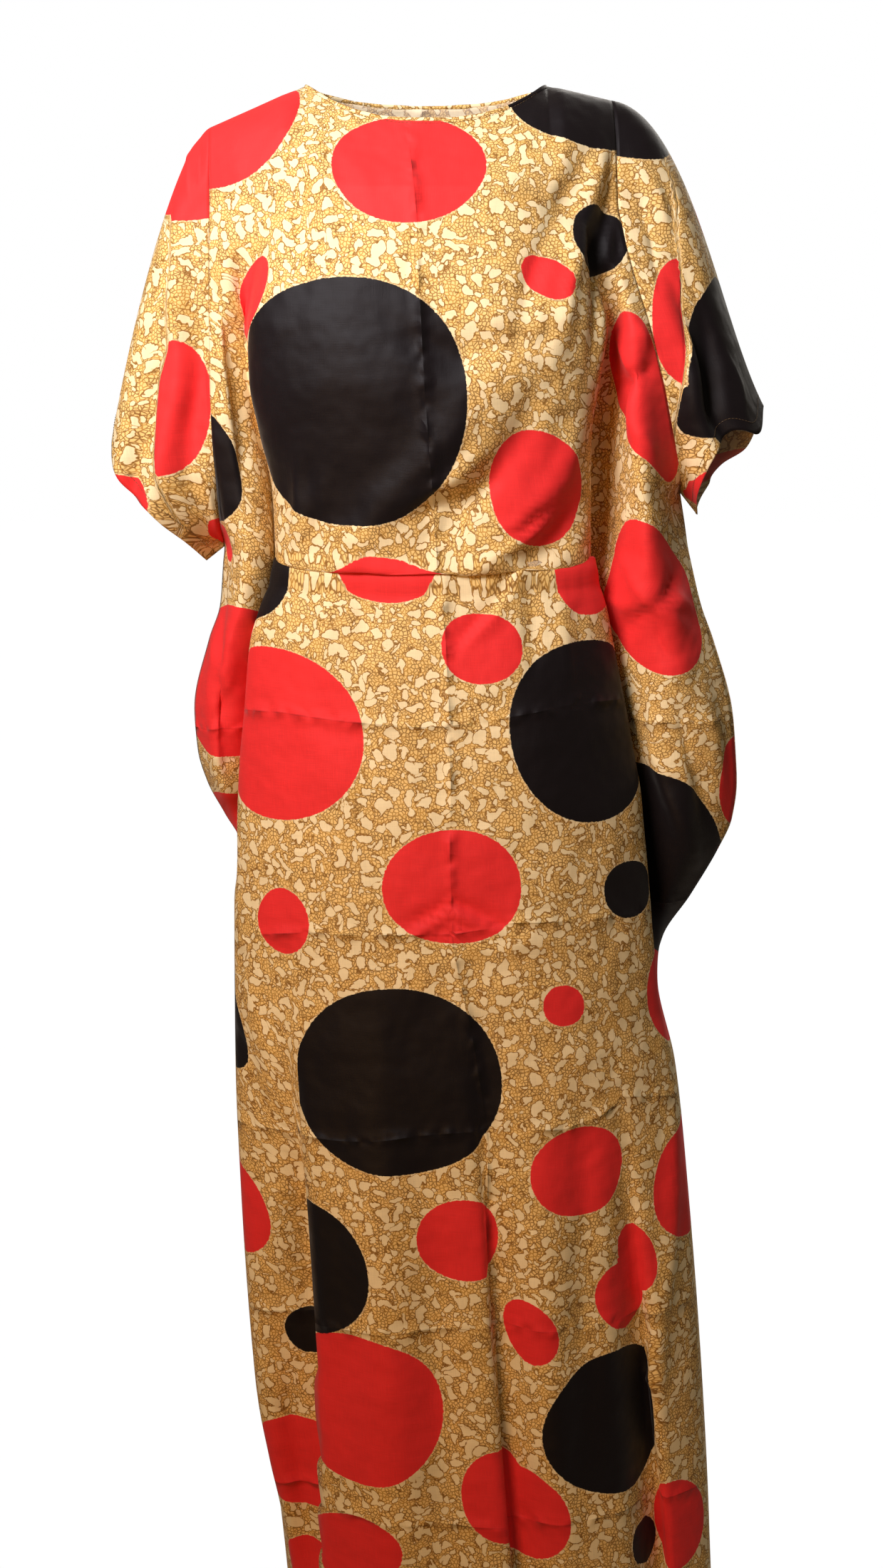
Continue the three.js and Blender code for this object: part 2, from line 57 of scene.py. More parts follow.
# ---- The cut and the way it hangs, in millimetres ------------------------------------------------
NECK_HALF = 102
NECK_FRONT = (52, 34)  # how far forward and down the middle of the neckline is
NECK_BACK = (-48, 10)
NECK_CURVE = 2.6  # 2 is a part of an ellipse, more is flatter in the middle
CHEST = -95  # the first level section
LENGTH = 1420
WAIST = -398
LEFT_SIDE, RIGHT_SIDE = -1, 1
SIDE_WORDS = {LEFT_SIDE: "left", RIGHT_SIDE: "right"}
SHOULDERS = {LEFT_SIDE: (183, 34), RIGHT_SIDE: (157, 12)}  # how far out and down each shoulder seam ends
UNDERARMS = {LEFT_SIDE: -390, RIGHT_SIDE: -345}
UNDERARM_SLACK = 0.5  # a row this little below the underarm still belongs to the armhole

# Stations count the way across a panel, from 0 at its middle to the side seam.
STATIONS = 6
NECK_STATION = 2  # where the neckline meets the shoulder seam
HALFWAY = (0.55, 0.17)  # a point between the middle and the edge: its share of the way across and in depth
ROUND_OVER = (0.6, 3)  # stations over which the cloth comes to round over the shoulder

TRUNK = (  # z, middle, front, back
    (-95, 0, -97, 84),
    (-128, 0, -107, 90),
    (-165, 0, -117, 95),
    (-205, 1, -124, 98),
    (-247, 2, -126, 100),
    (-293, 4, -119, 101),
    (-335, 6, -108, 102),
    (-368, 7, -102, 103),
    (-398, 8, -101, 103),
    (-412, 9, -98, 104),
    (-440, 10, -102, 105),
    (-470, 11, -108, 107),
    (-532, 13, -117, 111),
    (-600, 16, -124, 116),
    (-658, 18, -127, 119),
    (-745, 21, -128, 120),
    (-850, 26, -129, 121),
    (-960, 32, -131, 123),
    (-1150, 43, -134, 127),
    (-1290, 52, -137, 131),
    (-1420, 58, -140, 134),
)
LEFT = (  # z, then x out and y of the edge, gap, floor, fall and seam, and the pinch behind
    (-95, 104, -76, 126, -65, 142, -58, 160, -50, 182, -36, 0),
    (-128, 116, -82, 136, -67, 149, -62, 164, -56, 182, -45, 0),
    (-165, 132, -85, 146, -62, 155, -59, 168, -60, 182, -52, 0),
    (-205, 144, -84, 152, -48, 158, -52, 170, -62, 182, -56, 0),
    (-247, 144, -80, 150, -40, 156, -46, 168, -63, 182, -58, 0),
    (-293, 136, -72, 142, -28, 148, -40, 163, -62, 181, -57, 0),
    (-335, 127, -64, 133, -18, 138, -38, 156, -60, 179, -46, 0),
    (-368, 126, -58, 130, -10, 135, -40, 154, -58, 178, -28, 2),
    (-390, 126, -54, 129, -6, 134, -42, 153, -56, 177, 0, 6),
    (-404, 127, -49, 128, -2, 134, -40, 154, -54, 178, -4, 8),
    (-440, 142, -50, 132, 0, 139, -34, 160, -50, 181, -6, 14),
    (-470, 151, -50, 137, 2, 146, -26, 170, -46, 191, -8, 20),
    (-532, 157, -50, 143, 4, 153, -20, 182, -42, 205, -8, 28),
    (-569, 161, -50, 147, 4, 157, -16, 182, -38, 203, -4, 26),
    (-600, 163, -50, 150, 4, 159, -12, 178, -28, 195, 2, 20),
    (-630, 164, -52, 154, -4, 160, -2, 170, -4, 181, 12, 10),
    (-658, 164, -54, 159, -22, 163, -4, 167, 8, 169, 22, 2),
    (-702, 164, -60, 169, -36, 171, -18, 172, 2, 171, 24, 0),
    (-850, 165, -60, 170, -36, 172, -18, 172, 2, 171, 24, 0),
    (-960, 161, -62, 167, -38, 169, -18, 169, 2, 168, 24, 0),
    (-1150, 150, -64, 156, -40, 158, -18, 158, 4, 157, 26, 0),
    (-1220, 140, -65, 146, -41, 148, -18, 148, 4, 147, 26, 0),
    (-1290, 129, -66, 135, -42, 137, -18, 138, 4, 137, 26, 0),
    (-1420, 120, -68, 126, -44, 129, -18, 130, 4, 129, 26, 0),
)
RIGHT = (
    (-95, 104, -76, 120, -67, 131, -61, 144, -54, 161, -41, 0),
    (-128, 119, -82, 132, -68, 141, -63, 151, -59, 166, -50, 0),
    (-165, 135, -86, 145, -62, 152, -58, 162, -62, 176, -55, 0),
    (-205, 147, -84, 154, -46, 160, -44, 172, -68, 189, -58, 0),
    (-247, 143, -78, 147, -30, 158, -28, 176, -70, 200, -56, 0),
    (-293, 137, -70, 141, -16, 154, -16, 178, -72, 211, -44, 4),
    (-330, 137, -64, 141, -8, 153, -8, 182, -72, 220, -24, 8),
    (-345, 138, -60, 141, -6, 153, -5, 184, -71, 223, 0, 10),
    (-368, 138, -57, 141, -4, 152, -3, 186, -70, 226, -8, 14),
    (-390, 139, -54, 141, -2, 152, -4, 188, -68, 229, -12, 18),
    (-404, 142, -49, 141, 0, 153, -14, 190, -66, 232, -14, 20),
    (-440, 155, -50, 143, 2, 162, -30, 198, -62, 241, -16, 26),
    (-470, 161, -50, 149, 4, 172, -34, 206, -60, 252, -18, 30),
    (-532, 174, -50, 160, 6, 184, -34, 220, -58, 270, -18, 34),
    (-569, 181, -50, 166, 6, 190, -32, 226, -56, 274, -16, 34),
    (-600, 187, -50, 171, 6, 194, -30, 228, -52, 276, -14, 32),
    (-630, 190, -50, 175, 6, 196, -26, 228, -47, 273, -10, 30),
    (-658, 193, -50, 179, 4, 198, -20, 226, -38, 262, -6, 26),
    (-702, 197, -52, 187, -4, 200, -10, 216, -18, 239, 2, 16),
    (-745, 200, -56, 200, -26, 205, -10, 211, 2, 216, 18, 4),
    (-784, 202, -60, 207, -36, 209, -18, 210, 2, 209, 24, 0),
    (-850, 216, -60, 223, -36, 225, -18, 225, 2, 223, 26, 0),
    (-960, 229, -62, 236, -38, 238, -18, 238, 2, 236, 26, 0),
    (-1150, 245, -64, 253, -40, 255, -18, 255, 4, 253, 28, 0),
    (-1290, 254, -66, 262, -42, 264, -18, 264, 4, 262, 28, 0),
    (-1420, 259, -68, 267, -44, 269, -18, 269, 4, 267, 28, 0),
)
SIDE_TABLES = {LEFT_SIDE: LEFT, RIGHT_SIDE: RIGHT}
PAIR_COLUMNS = {"edge": 1, "gap": 3, "floor": 5, "fall": 7, "seam": 9}
PINCH_COLUMN = 11

# Across, depth and pinch of the back's points.
BACK_POINTS = ((0, 1, 0), (0.34, 0.98, 0), (0.64, 0.82, 0.3), (0.86, 0.46, 1), (1, 0, 0))

# Where the bodice hangs over the tie: height above or below the waist, and how far in front of the cloth.
TUCK = (  # share of the rows, z, out
    (0.00, 10, 0.0),
    (0.12, 3, 1.6),
    (0.24, -2.5, 2.6),
    (0.33, -5.0, 2.4),
    (0.40, -5.8, 1.4),
    (0.47, -4.8, 0.0),
    (0.55, -1, -0.8),
    (0.62, 2, -1.2),
    (0.68, 0.5, -1.2),
    (0.74, -3.5, 0.6),
    (0.80, -6.8, 2.0),
    (0.88, -12, 2.0),
    (1.00, -24, 0.0),
)
TUCK_TOP, TUCK_BOTTOM = WAIST + 10, WAIST - 24
TUCK_CLOTH = 34  # length of cloth that the overhang hides
TUCK_HIDES = (0.2, 0.8)  # share of the rows over which that cloth is lost
TUCK_ENDS = (1.9, 2.9)  # stations over which the overhang ends
TUCK_EVENS_OUT = (430, 660)  # how far down the wings take up the hidden cloth as well
WAIST_SAG = {"depth": 5.0, "half": 140, "width": 60}
WAIST_RIPPLE = {"height": 0.9, "length": 11.0, "start": 0.6}

LONG_FOLDS = (  # face, x at top and bottom, z at top and bottom, depth, width to the left and right, lean
    ("front", -119, -106, -760, -1180, 27, 38, 12, 14),
    ("front", 34, 98, -680, -1420, 22, 9, 26, -9),
    ("front", 160, 212, -790, -1380, 34, 18, 13, 9),
    ("back", -62, -48, -420, -1420, 22, 30, 24, 4),
    ("back", 30, 60, -300, -1420, 19, 26, 30, -3),
    ("back", 120, 170, -520, -1420, 23, 28, 24, 4),
)
LONG_FOLD_OPENS = 0.7  # share of its length over which a long fold opens
LONG_FOLD_REACH = (2, 6)  # stations over which the long folds fade

CUFFS = {  # out, y and z from the top of the sleeve to the underarm, by its front and its back
    LEFT_SIDE: {
        "front": ((266, 0, -270), (269, -36, -300), (262, -60, -331), (243, -68, -349), (226, -62, -367),
                  (207, -40, -384), (193, 2, -402)),
        "back": ((266, 0, -270), (270, 34, -298), (264, 58, -328), (246, 66, -352), (228, 58, -372),
                 (208, 38, -390), (193, 2, -402)),
        "lift": ((0, 68), (12, 11)),
    },
    RIGHT_SIDE: {
        "front": ((294, 0, -268), (286, -28, -292), (264, -46, -288), (250, -54, -304), (240, -50, -322),
                  (234, -30, -344), (238, 2, -362)),
        "back": ((294, 0, -268), (284, 30, -304), (266, 48, -318), (254, 54, -334), (246, 46, -348),
                 (240, 28, -360), (238, 2, -362)),
        "lift": ((22, 79), (6, -14)),
    },
}
SLEEVE_FOLDS = {  # half, place round the ring from the top to the underarm, width, depth at the cuff
    LEFT_SIDE: (("front", 0.44, 0.09, 12), ("back", 0.5, 0.14, 9)),
    RIGHT_SIDE: (("front", 0.4, 0.09, 12), ("back", 0.46, 0.14, 9)),
}

SLEEVE_TOP_POWER = 1.2  # how fast a sleeve's lift fades from its top to the underarm

HEM = 14  # how far the hem's stitches lie from the edge
CUFF_HEM = 11
NECK_STITCH = 5
STITCH = {"pitch": 3.2, "length": 2.4, "thread": 0.42, "lead": 0.5}
# Share of its length and height of each point along a stitch.
STITCH_ARCH = ((-0.5, -0.12), (-0.34, 0.22), (0.0, 0.34), (0.34, 0.22), (0.5, -0.12))
BINDING = {"height": 3.6, "thickness": 1.9, "down": 1.0, "squareness": 0.8, "corners": 12, "step": 3}
BINDING_WAVES = ((0.10, 9.0, 0.0), (0.07, 4.3, 1.3))  # share of its size, length and start

# ---- Mesh density --------------------------------------------------------------------------------
FRONT_COLUMNS = (18, 17, 12, 7, 12, 10)  # from the centre out: middle, edge, gap, floor, fall, seam
BACK_COLUMNS = 60
SHOULDER_ROWS = 18
ROW_STEP = 5.0
TUCK_ROWS = 22
SLEEVE_ROWS = 56
SLEEVE_LEVEL = 8  # distance between the levels at which a sleeve's girth is measured
LEAST_GIRTH = 12  # of a sleeve's half width and half depth


def smooth(low, high, value):
    """0 where value is below low, 1 above high, smooth between."""
    t = np.clip((value - low) / (high - low), 0.0, 1.0)
    return t * t * (3 - 2 * t)


def mix(a, b, t):
    return a + (b - a) * t


def sample(table, column, z):
    """A column of a section table at the heights z, smooth and without overshoot between its rows."""
    rows = np.array(table, float)
    heights, values = rows[:, 0], rows[:, column]
    span = np.diff(heights)
    slope = np.diff(values) / span
    tangent = np.zeros(len(values))
    product, total = slope[:-1] * slope[1:], slope[:-1] + slope[1:]
    bends_on = product > 0
    tangent[1:-1][bends_on] = 2 * product[bends_on] / total[bends_on]
    z = np.clip(z, heights[-1], heights[0])
    i = np.clip(np.searchsorted(-heights, -z, side="right") - 1, 0, len(span) - 1)
    t = (z - heights[i]) / span[i]
    rise = span[i] * (t * (1 - t) ** 2 * tangent[i] - t**2 * (1 - t) * tangent[i + 1])
    return mix(values[i], values[i + 1], t * t * (3 - 2 * t)) + rise


def spline(points, shares):
    """Centripetal Catmull-Rom curves, one for each row of points, at shares of the way from first to last."""
    count = points.shape[1]
    place = np.asarray(shares) * (count - 1)
    i = np.minimum(place.astype(int), count - 2)
    w = (place - i)[None, :, None]
    first = 2 * points[:, :1] - points[:, 1:2]
    last = 2 * points[:, -1:] - points[:, -2:-1]
    padded = np.concatenate([first, points, last], axis=1)
    a, b, c, d = (padded[:, i + k] for k in range(4))

    def step(p, q):
        return np.maximum(np.sum((p - q) ** 2, axis=2, keepdims=True) ** 0.25, 1e-4)

    ab, bc, cd = step(a, b), step(b, c), step(c, d)
    start = ((b - a) / ab - (c - a) / (ab + bc) + (c - b) / bc) * bc
    end = ((c - b) / bc - (d - b) / (bc + cd) + (d - c) / cd) * bc
    return b + start * w + (3 * (c - b) - 2 * start - end) * w**2 + (2 * (b - c) + start + end) * w**3


# ---- Sections ------------------------------------------------------------------------------------
def pair(side, z, name):
    """Places across and in depth of a named point of one side's table, at the heights z."""
    column = PAIR_COLUMNS[name]
    return side * sample(SIDE_TABLES[side], column, z), sample(SIDE_TABLES[side], column + 1, z)


def push_folds(face, points, station, z, sign):
    """Presses the long folds of a face into its points, and leans their bottoms under one side."""
    x = points[..., 0].copy()
    near_middle = 1 - smooth(*LONG_FOLD_REACH, station)
    for where, top, bottom, start, end, depth, left, right, lean in LONG_FOLDS:
        if where != face:
            continue
        down = np.clip((z - start) / (end - start), 0, 1)
        offset = x - mix(top, bottom, down)
        share = offset / np.where(offset < 0, left, right)
        amount = smooth(0, LONG_FOLD_OPENS, down) * np.exp(-2 * share**2) * near_middle
        points[..., 1] += sign * depth * amount
        points[..., 0] += lean * amount


def swept(face, controls, z, side, station, sign):
    """Points on the curves through the control points, at the heights z (rows) and the stations (columns)."""
    flat = np.stack([np.stack(p, axis=1) for p in controls], axis=1)
    xy = spline(flat, (STATIONS + side * station) / (2 * STATIONS))
    points = np.concatenate([xy, np.broadcast_to(z[:, None, None], xy.shape[:2] + (1,))], axis=2)
    push_folds(face, points, station[None, :], z[:, None], sign)
    return points


def front_level(z, side, station):
    """Points of the front at the heights z and the stations, each on its side."""
    controls = []
    middle, front = sample(TRUNK, 1, z), sample(TRUNK, 2, z)
    for s in (LEFT_SIDE, RIGHT_SIDE):
        edge = pair(s, z, "edge")
        half = (mix(middle, edge[0], HALFWAY[0]), mix(front, edge[1], HALFWAY[1]))
        line = [(middle, front), half, edge, *(pair(s, z, name) for name in ("gap", "floor", "fall", "seam"))]
        controls += reversed(line) if s == LEFT_SIDE else line[1:]
    return swept("front", controls, z, side, station, 1)


def back_level(z, side, station):
    """Points of the back, which meets the front's seams below the underarms and mirrors them above."""
    controls = []
    middle, back = sample(TRUNK, 1, z), sample(TRUNK, 3, z)
    for s in (LEFT_SIDE, RIGHT_SIDE):
        seam_x, front_y = pair(s, z, "seam")
        seam_y = np.where(z >= UNDERARMS[s], -front_y, front_y)
        pinch = sample(SIDE_TABLES[s], PINCH_COLUMN, z)
        line = [
            (mix(middle, seam_x, across), mix(seam_y, back, depth) - share * pinch)
            for across, depth, share in BACK_POINTS
        ]
        controls += reversed(line) if s == LEFT_SIDE else line[1:]
    return swept("back", controls, z, side, station, -1)


def upper_edge(side, station, neck):
    """The neckline up to the neck's station and the shoulder seam beyond it."""
    forward, drop = neck
    at_neck = station <= NECK_STATION
    angle = np.clip(station / NECK_STATION, 0, 1) * math.pi / 2
    out = np.sin(angle)
    along = np.clip((station - NECK_STATION) / (STATIONS - NECK_STATION), 0, 1)
    left_seam, right_seam = SHOULDERS[LEFT_SIDE], SHOULDERS[RIGHT_SIDE]
    seam_out, seam_drop = (np.where(side < 0, left, right) for left, right in zip(left_seam, right_seam))
    x = np.where(at_neck, NECK_HALF * out, mix(NECK_HALF, seam_out, along))
    y = np.where(at_neck, -forward * np.cos(angle), 0.0)
    z = np.where(at_neck, -drop * (1 - out**NECK_CURVE), -seam_drop * along)
    return np.stack([side * x, y, z], axis=1)


def shoulder_rows(top, chest, station, shares):
    """Rounds the cloth over from the shoulder line to the chest, less so below the neckline."""
    round_over = smooth(*ROUND_OVER, station)[None, :]
    share = shares[:, None]
    angle = share * math.pi / 2
    ways = (share, mix(share, np.sin(angle), round_over), mix(share, 1 - np.cos(angle), round_over))
    return np.stack([mix(top[:, k], chest[:, k], way) for k, way in enumerate(ways)], axis=2)


def panel_columns(stations, first, second):
    """The side and the station of every column of a panel, from the first side's seam to the second's."""
    side = np.concatenate([np.full(len(stations), first), np.full(len(stations) - 1, second)])
    station = np.concatenate([stations[::-1], stations[1:]])
    return side.astype(float), station


front_stations = np.concatenate([n + np.arange(c) / c for n, c in enumerate(FRONT_COLUMNS)] + [[STATIONS]])
back_stations = np.linspace(0, STATIONS, BACK_COLUMNS + 1)


def level_heights():
    """Heights of the rows below the shoulders, closer together in the waist's overhang."""
    above = np.linspace(CHEST, TUCK_TOP, round((CHEST - TUCK_TOP) / ROW_STEP) + 1)
    tucked = np.linspace(TUCK_TOP, TUCK_BOTTOM, TUCK_ROWS + 1)[1:]
    below = np.linspace(TUCK_BOTTOM, -LENGTH, round((TUCK_BOTTOM + LENGTH) / ROW_STEP) + 1)[1:]
    return np.concatenate([above, tucked, below])


def panel(level, columns, neck):
    """The points of a panel and their places in its cut, in rows from the shoulders to the hem."""
    side, station = columns
    heights = level_heights()
    lower = level(heights, side, station)
    shares = np.linspace(0, 1, SHOULDER_ROWS + 1)[:-1]
    upper = shoulder_rows(upper_edge(side, station, neck), lower[0], station, shares)
    points = np.concatenate([upper, lower])
    middle = int(np.argmin(station))
    steps = np.linalg.norm(np.diff(points, axis=1), axis=2)
    across = np.concatenate([np.zeros((len(points), 1)), np.cumsum(steps, axis=1)], axis=1)
    across -= across[:, middle : middle + 1]
    drops = np.linalg.norm(np.diff(points[: SHOULDER_ROWS + 1], axis=0), axis=2)
    climbs = np.concatenate([np.cumsum(drops[::-1], axis=0)[::-1], np.zeros((1, len(station)))])
    down = np.concatenate([-CHEST - climbs[:-1], np.repeat(-heights[:, None], len(station), axis=1)])
    return points, np.stack([across, down], axis=2)


def overhang(points, cut, station):
    """Lets the front of the bodice blouse over the tie, with the cloth that hides behind it."""
    height = points[..., 2].copy()
    share = (TUCK_TOP - height) / (TUCK_TOP - TUCK_BOTTOM)
    plain = mix(TUCK_TOP, TUCK_BOTTOM, share) - WAIST
    inside = (share >= 0) & (share <= 1)
    table = np.array(TUCK) * (-1, 1, 1)  # a section table's first column falls
    row = -np.clip(share, 0, 1).ravel()
    path, out = (sample(table, column, row).reshape(share.shape) for column in (1, 2))
    reach = 1 - smooth(*TUCK_ENDS, station)[None, :]
    points[..., 2] += np.where(inside, (path - plain) * reach, 0)
    points[..., 1] -= np.where(inside, out * reach, 0)
    near = np.exp(-(((height - WAIST) / WAIST_SAG["width"]) ** 2)) * reach
    x = points[..., 0]
    sag = np.cos(np.clip(x / WAIST_SAG["half"], -1, 1) * math.pi / 2)
    ripple = np.sin(x / WAIST_RIPPLE["length"] + WAIST_RIPPLE["start"])
    points[..., 2] += near * (WAIST_RIPPLE["height"] * ripple - WAIST_SAG["depth"] * sag)
    spread = mix(reach, 1, smooth(*TUCK_EVENS_OUT, -height))
    cut[..., 1] += TUCK_CLOTH * smooth(*TUCK_HIDES, share) * spread


def grid_normals(points, ring=False):
    """The directions that the grid's printed face looks in. A ring's last column meets its first."""
    if ring:
        across = np.roll(points, -1, axis=1) - np.roll(points, 1, axis=1)
    else:
        across = np.gradient(points, axis=1)
    down = np.gradient(points, axis=0)
    normal = np.cross(down, across)
    return normal / np.maximum(np.linalg.norm(normal, axis=2, keepdims=True), 1e-9)


# ---- Creases and dots, in each piece's own cut: across from its middle and down from the shoulder line ----
CREASE_STARTS = 0.03  # share of a crease's length at either end in which it gets no lower
CREASE_TAPER = 0.6  # less than 1 keeps a crease high for most of its length
STEP_SHARE = 0.25  # share of its width over which a step rises
PRESS_REACH = 60  # beyond this a press line no longer counts
DOT_REACH = 200  # beyond this a dot no longer counts
ROUNDNESS = 2.12  # of the dots: 2 is an ellipse, more is squarer
WOBBLE = ((2, 0.018, 1.0), (3, 0.014, 2.3))  # waves round a dot, their share of its size and of its seed
NECK_PRINT = 900  # how far down the print the binding was cut
NECK_DOTS = (("black", 244, NECK_PRINT, 42, 40, 0, 0.0),)


def line_distance(cut, line):
    """Signed distance of every point from a broken line, and its place along the line from 0 to 1."""
    line = np.array(line, float)
    legs = np.diff(line, axis=0)
    sizes = np.linalg.norm(legs, axis=1)
    starts = np.concatenate([[0], np.cumsum(sizes)])
    best = np.full(cut.shape[:2], 1e9)
    signed, along = best.copy(), best.copy()
    for start, leg, size, begin in zip(line, legs, sizes, starts):
        rel = cut - start
        t = np.clip((rel @ leg) / size**2, 0, 1)
        off = rel - t[..., None] * leg
        distance = np.linalg.norm(off, axis=2)
        turn = np.sign(leg[0] * rel[..., 1] - leg[1] * rel[..., 0])
        nearer = distance < best
        best = np.where(nearer, distance, best)
        signed = np.where(nearer, distance * turn, signed)
        along = np.where(nearer, (begin + t * size) / starts[-1], along)
    return signed, along


def crease_height(cut, creases):
    """Height that the creases give the cloth: soft folds are round, pressed ones are sharp."""
    height = np.zeros(cut.shape[:2])
    for kind, size, width, line in creases:
        signed, along = line_distance(cut, line)
        taper = np.sin(np.clip(along, CREASE_STARTS, 1 - CREASE_STARTS) * math.pi) ** CREASE_TAPER
        if kind == "soft":
            shape = np.exp(-((signed / width) ** 2))
        elif kind == "press":
            shape = np.exp(-np.abs(signed) / width)
        else:  # "step": one side lies over the other
            shape = np.tanh(signed / (STEP_SHARE * width)) * np.exp(-((signed / width) ** 2))
        height += size * taper * shape
    return height


def press_distance(cut, lines):
    """Distance from the nearest press line, with a sign that changes only where a line is crossed."""
    nearest, sign = np.full(cut.shape[:2], 1e9), np.ones(cut.shape[:2])
    for line in lines:
        signed = line_distance(cut, line)[0]
        nearest = np.minimum(nearest, np.abs(signed))
        sign *= np.where(signed < 0, -1, 1)
    return np.minimum(nearest, PRESS_REACH) * sign


def joined(cut, join):
    """Moves the print beyond a join on by the cloth lost in it. Also the distance beyond the join."""
    lost, half_width, fade, line = join
    signed, along = line_distance(cut, line)
    beyond = -signed * np.sign(lost)
    moved = cut.copy()
    moved[..., 0] += lost * smooth(-half_width, half_width, beyond) * smooth(0, fade, along)
    return moved, beyond


def dot_distance(cut, dots, colour):
    """Distance of every point from the nearest dot of a colour, below 0 inside it."""
    nearest = np.full(cut.shape[:2], float(DOT_REACH))
    for name, across, down, half_width, half_height, tilt, seed in dots:
        if name != colour:
            continue
        turn = math.radians(tilt)
        x, y = cut[..., 0] - across, cut[..., 1] - down
        a = (x * math.cos(turn) + y * math.sin(turn)) / half_width
        b = (-x * math.sin(turn) + y * math.cos(turn)) / half_height
        angle = np.arctan2(b, a)
        wobble = 1 + sum(size * np.sin(waves * angle + share * seed) for waves, size, share in WOBBLE)
        reach = (np.abs(a) ** ROUNDNESS + np.abs(b) ** ROUNDNESS) ** (1 / ROUNDNESS) / wobble
        nearest = np.minimum(nearest, (reach - 1) * math.sqrt(half_width * half_height))
    return nearest


FRONT_CREASES = (  # kind, height, width, line
    # off the right shoulder seam
    ("soft", -4.0, 8, ((172, 62), (163, 110), (152, 170), (143, 240))),
    ("soft", 3.5, 8, ((160, 60), (140, 112), (120, 175), (106, 240))),
    ("soft", -2.5, 7, ((178, 64), (180, 120), (173, 182))),
    ("soft", -3.0, 9, ((148, 58), (120, 100), (90, 160), (68, 232))),
    ("soft", 2.5, 10, ((-104, 34), (-84, 90), (-78, 156))),
    ("soft", -2.0, 9, ((-122, 60), (-104, 120), (-100, 180))),
    # rising from the waist to the right
    ("soft", 4.5, 14, ((-78, 396), (-44, 350), (6, 304), (40, 262))),
    ("soft", -4.5, 15, ((-28, 398), (28, 352), (72, 300), (96, 252))),
    ("soft", 3.5, 11, ((26, 399), (70, 368), (112, 326), (140, 276))),
    ("soft", -3.5, 11, ((72, 400), (100, 380), (138, 346))),
    ("soft", 2.5, 9, ((-124, 398), (-108, 360), (-84, 318))),
    ("soft", -3.0, 7, ((-20, 362), (2, 348), (34, 342), (60, 322))),
    ("soft", 3.0, 8, ((-30, 350), (6, 332), (22, 324), (50, 300))),
    ("soft", 2.8, 5, ((30, 394), (56, 388), (84, 372), (110, 350))),
    ("soft", -2.4, 5, ((40, 382), (70, 372), (100, 350))),
    ("soft", -2.6, 7, ((-112, 394), (-104, 372), (-100, 340))),
    ("soft", 2.4, 6, ((-128, 380), (-118, 350), (-116, 310))),
    ("soft", -2.5, 12, ((-30, 210), (20, 232), (74, 218))),
    ("soft", 2.2, 10, ((30, 190), (70, 205), (112, 196))),
    # little pleats under the waist
    ("soft", 2.2, 8, ((-96, 450), (-92, 520))),
    ("soft", -2.4, 8, ((-66, 450), (-63, 512))),
    ("soft", 1.8, 7, ((6, 450), (4, 500))),
    ("step", -2.6, 8, ((74, 440), (58, 456), (44, 472), (14, 504))),
    ("soft", -2.6, 8, ((80, 450), (80, 520))),
    ("soft", 2.0, 8, ((108, 450), (112, 534))),
    # down the skirt
    ("soft", 5.0, 24, ((-64, 800), (-70, 1000), (-78, 1260), (-84, 1420))),
    ("soft", -3.5, 20, ((-24, 960), (-28, 1150), (-34, 1400))),
    ("soft", 4.0, 18, ((74, 930), (86, 1120), (100, 1330))),
    ("soft", -3.0, 16, ((112, 880), (118, 1040), (126, 1200))),
    ("soft", 3.2, 9, ((-141, 790), (-146, 935), (-150, 1003), (-153, 1099), (-157, 1198), (-165, 1342),
                      (-168, 1460))),
    ("soft", -3.6, 15, ((-220, 860), (-228, 1000), (-236, 1198), (-246, 1460))),
    ("soft", 3.0, 12, ((-186, 760), (-188, 860), (-262, 1000), (-272, 1150))),
    ("soft", -4.0, 11, ((-270, 1050), (-274, 1200), (-280, 1400))),
    ("soft", 3.0, 10, ((212, 900), (216, 1060), (222, 1240))),
    ("step", 3.4, 7, ((-44, 744), (-20, 733), (4, 719), (26, 730), (54, 742))),
    ("soft", 2.0, 8, ((12, 752), (44, 756), (84, 748))),
    # crumples on the red at the right side, on the wings and low on the right
    ("press", 3.6, 7, ((206, 206), (236, 226), (258, 246))),
    ("press", -3.6, 7, ((230, 252), (258, 246), (284, 232))),
    ("press", 3.4, 7, ((258, 246), (270, 282), (300, 316))),
    ("press", -3.0, 6, ((258, 246), (246, 276), (262, 300))),
    ("press", 2.6, 6, ((226, 200), (250, 216), (262, 206))),
    ("press", 4.2, 9, ((246, 392), (276, 420), (300, 440), (340, 466))),
    ("press", -4.0, 8, ((262, 470), (284, 446), (300, 440), (322, 404))),
    ("press", 3.4, 8, ((300, 440), (330, 434), (356, 446))),
    ("press", -3.2, 8, ((300, 440), (306, 470), (322, 498))),
    ("press", 3.0, 8, ((240, 430), (270, 440), (300, 440))),
    ("soft", -5.0, 11, ((330, 520), (338, 570), (356, 620), (362, 680))),
    ("soft", 4.0, 10, ((306, 530), (312, 590), (330, 650), (336, 700))),
    ("soft", 3.0, 9, ((360, 520), (374, 580), (384, 640))),
    ("soft", -4.0, 10, ((-320, 440), (-312, 500), (-306, 560), (-300, 620))),
    ("press", 3.0, 8, ((-336, 470), (-312, 500), (-286, 540))),
    ("press", -2.6, 8, ((-330, 560), (-306, 545), (-290, 510))),
    ("soft", 3.0, 9, ((-262, 280), (-266, 340), (-282, 400))),
    ("soft", -3.5, 8, ((-206, 170), (-214, 230), (-228, 300), (-250, 370))),
    ("soft", 2.6, 8, ((-176, 120), (-186, 170), (-196, 220))),
    ("press", 2.0, 5, ((188, 1064), (206, 1082), (228, 1090))),
    ("press", -2.0, 5, ((196, 1120), (214, 1104), (234, 1112))),
    ("press", 1.8, 5, ((190, 1150), (212, 1160), (232, 1152))),
)
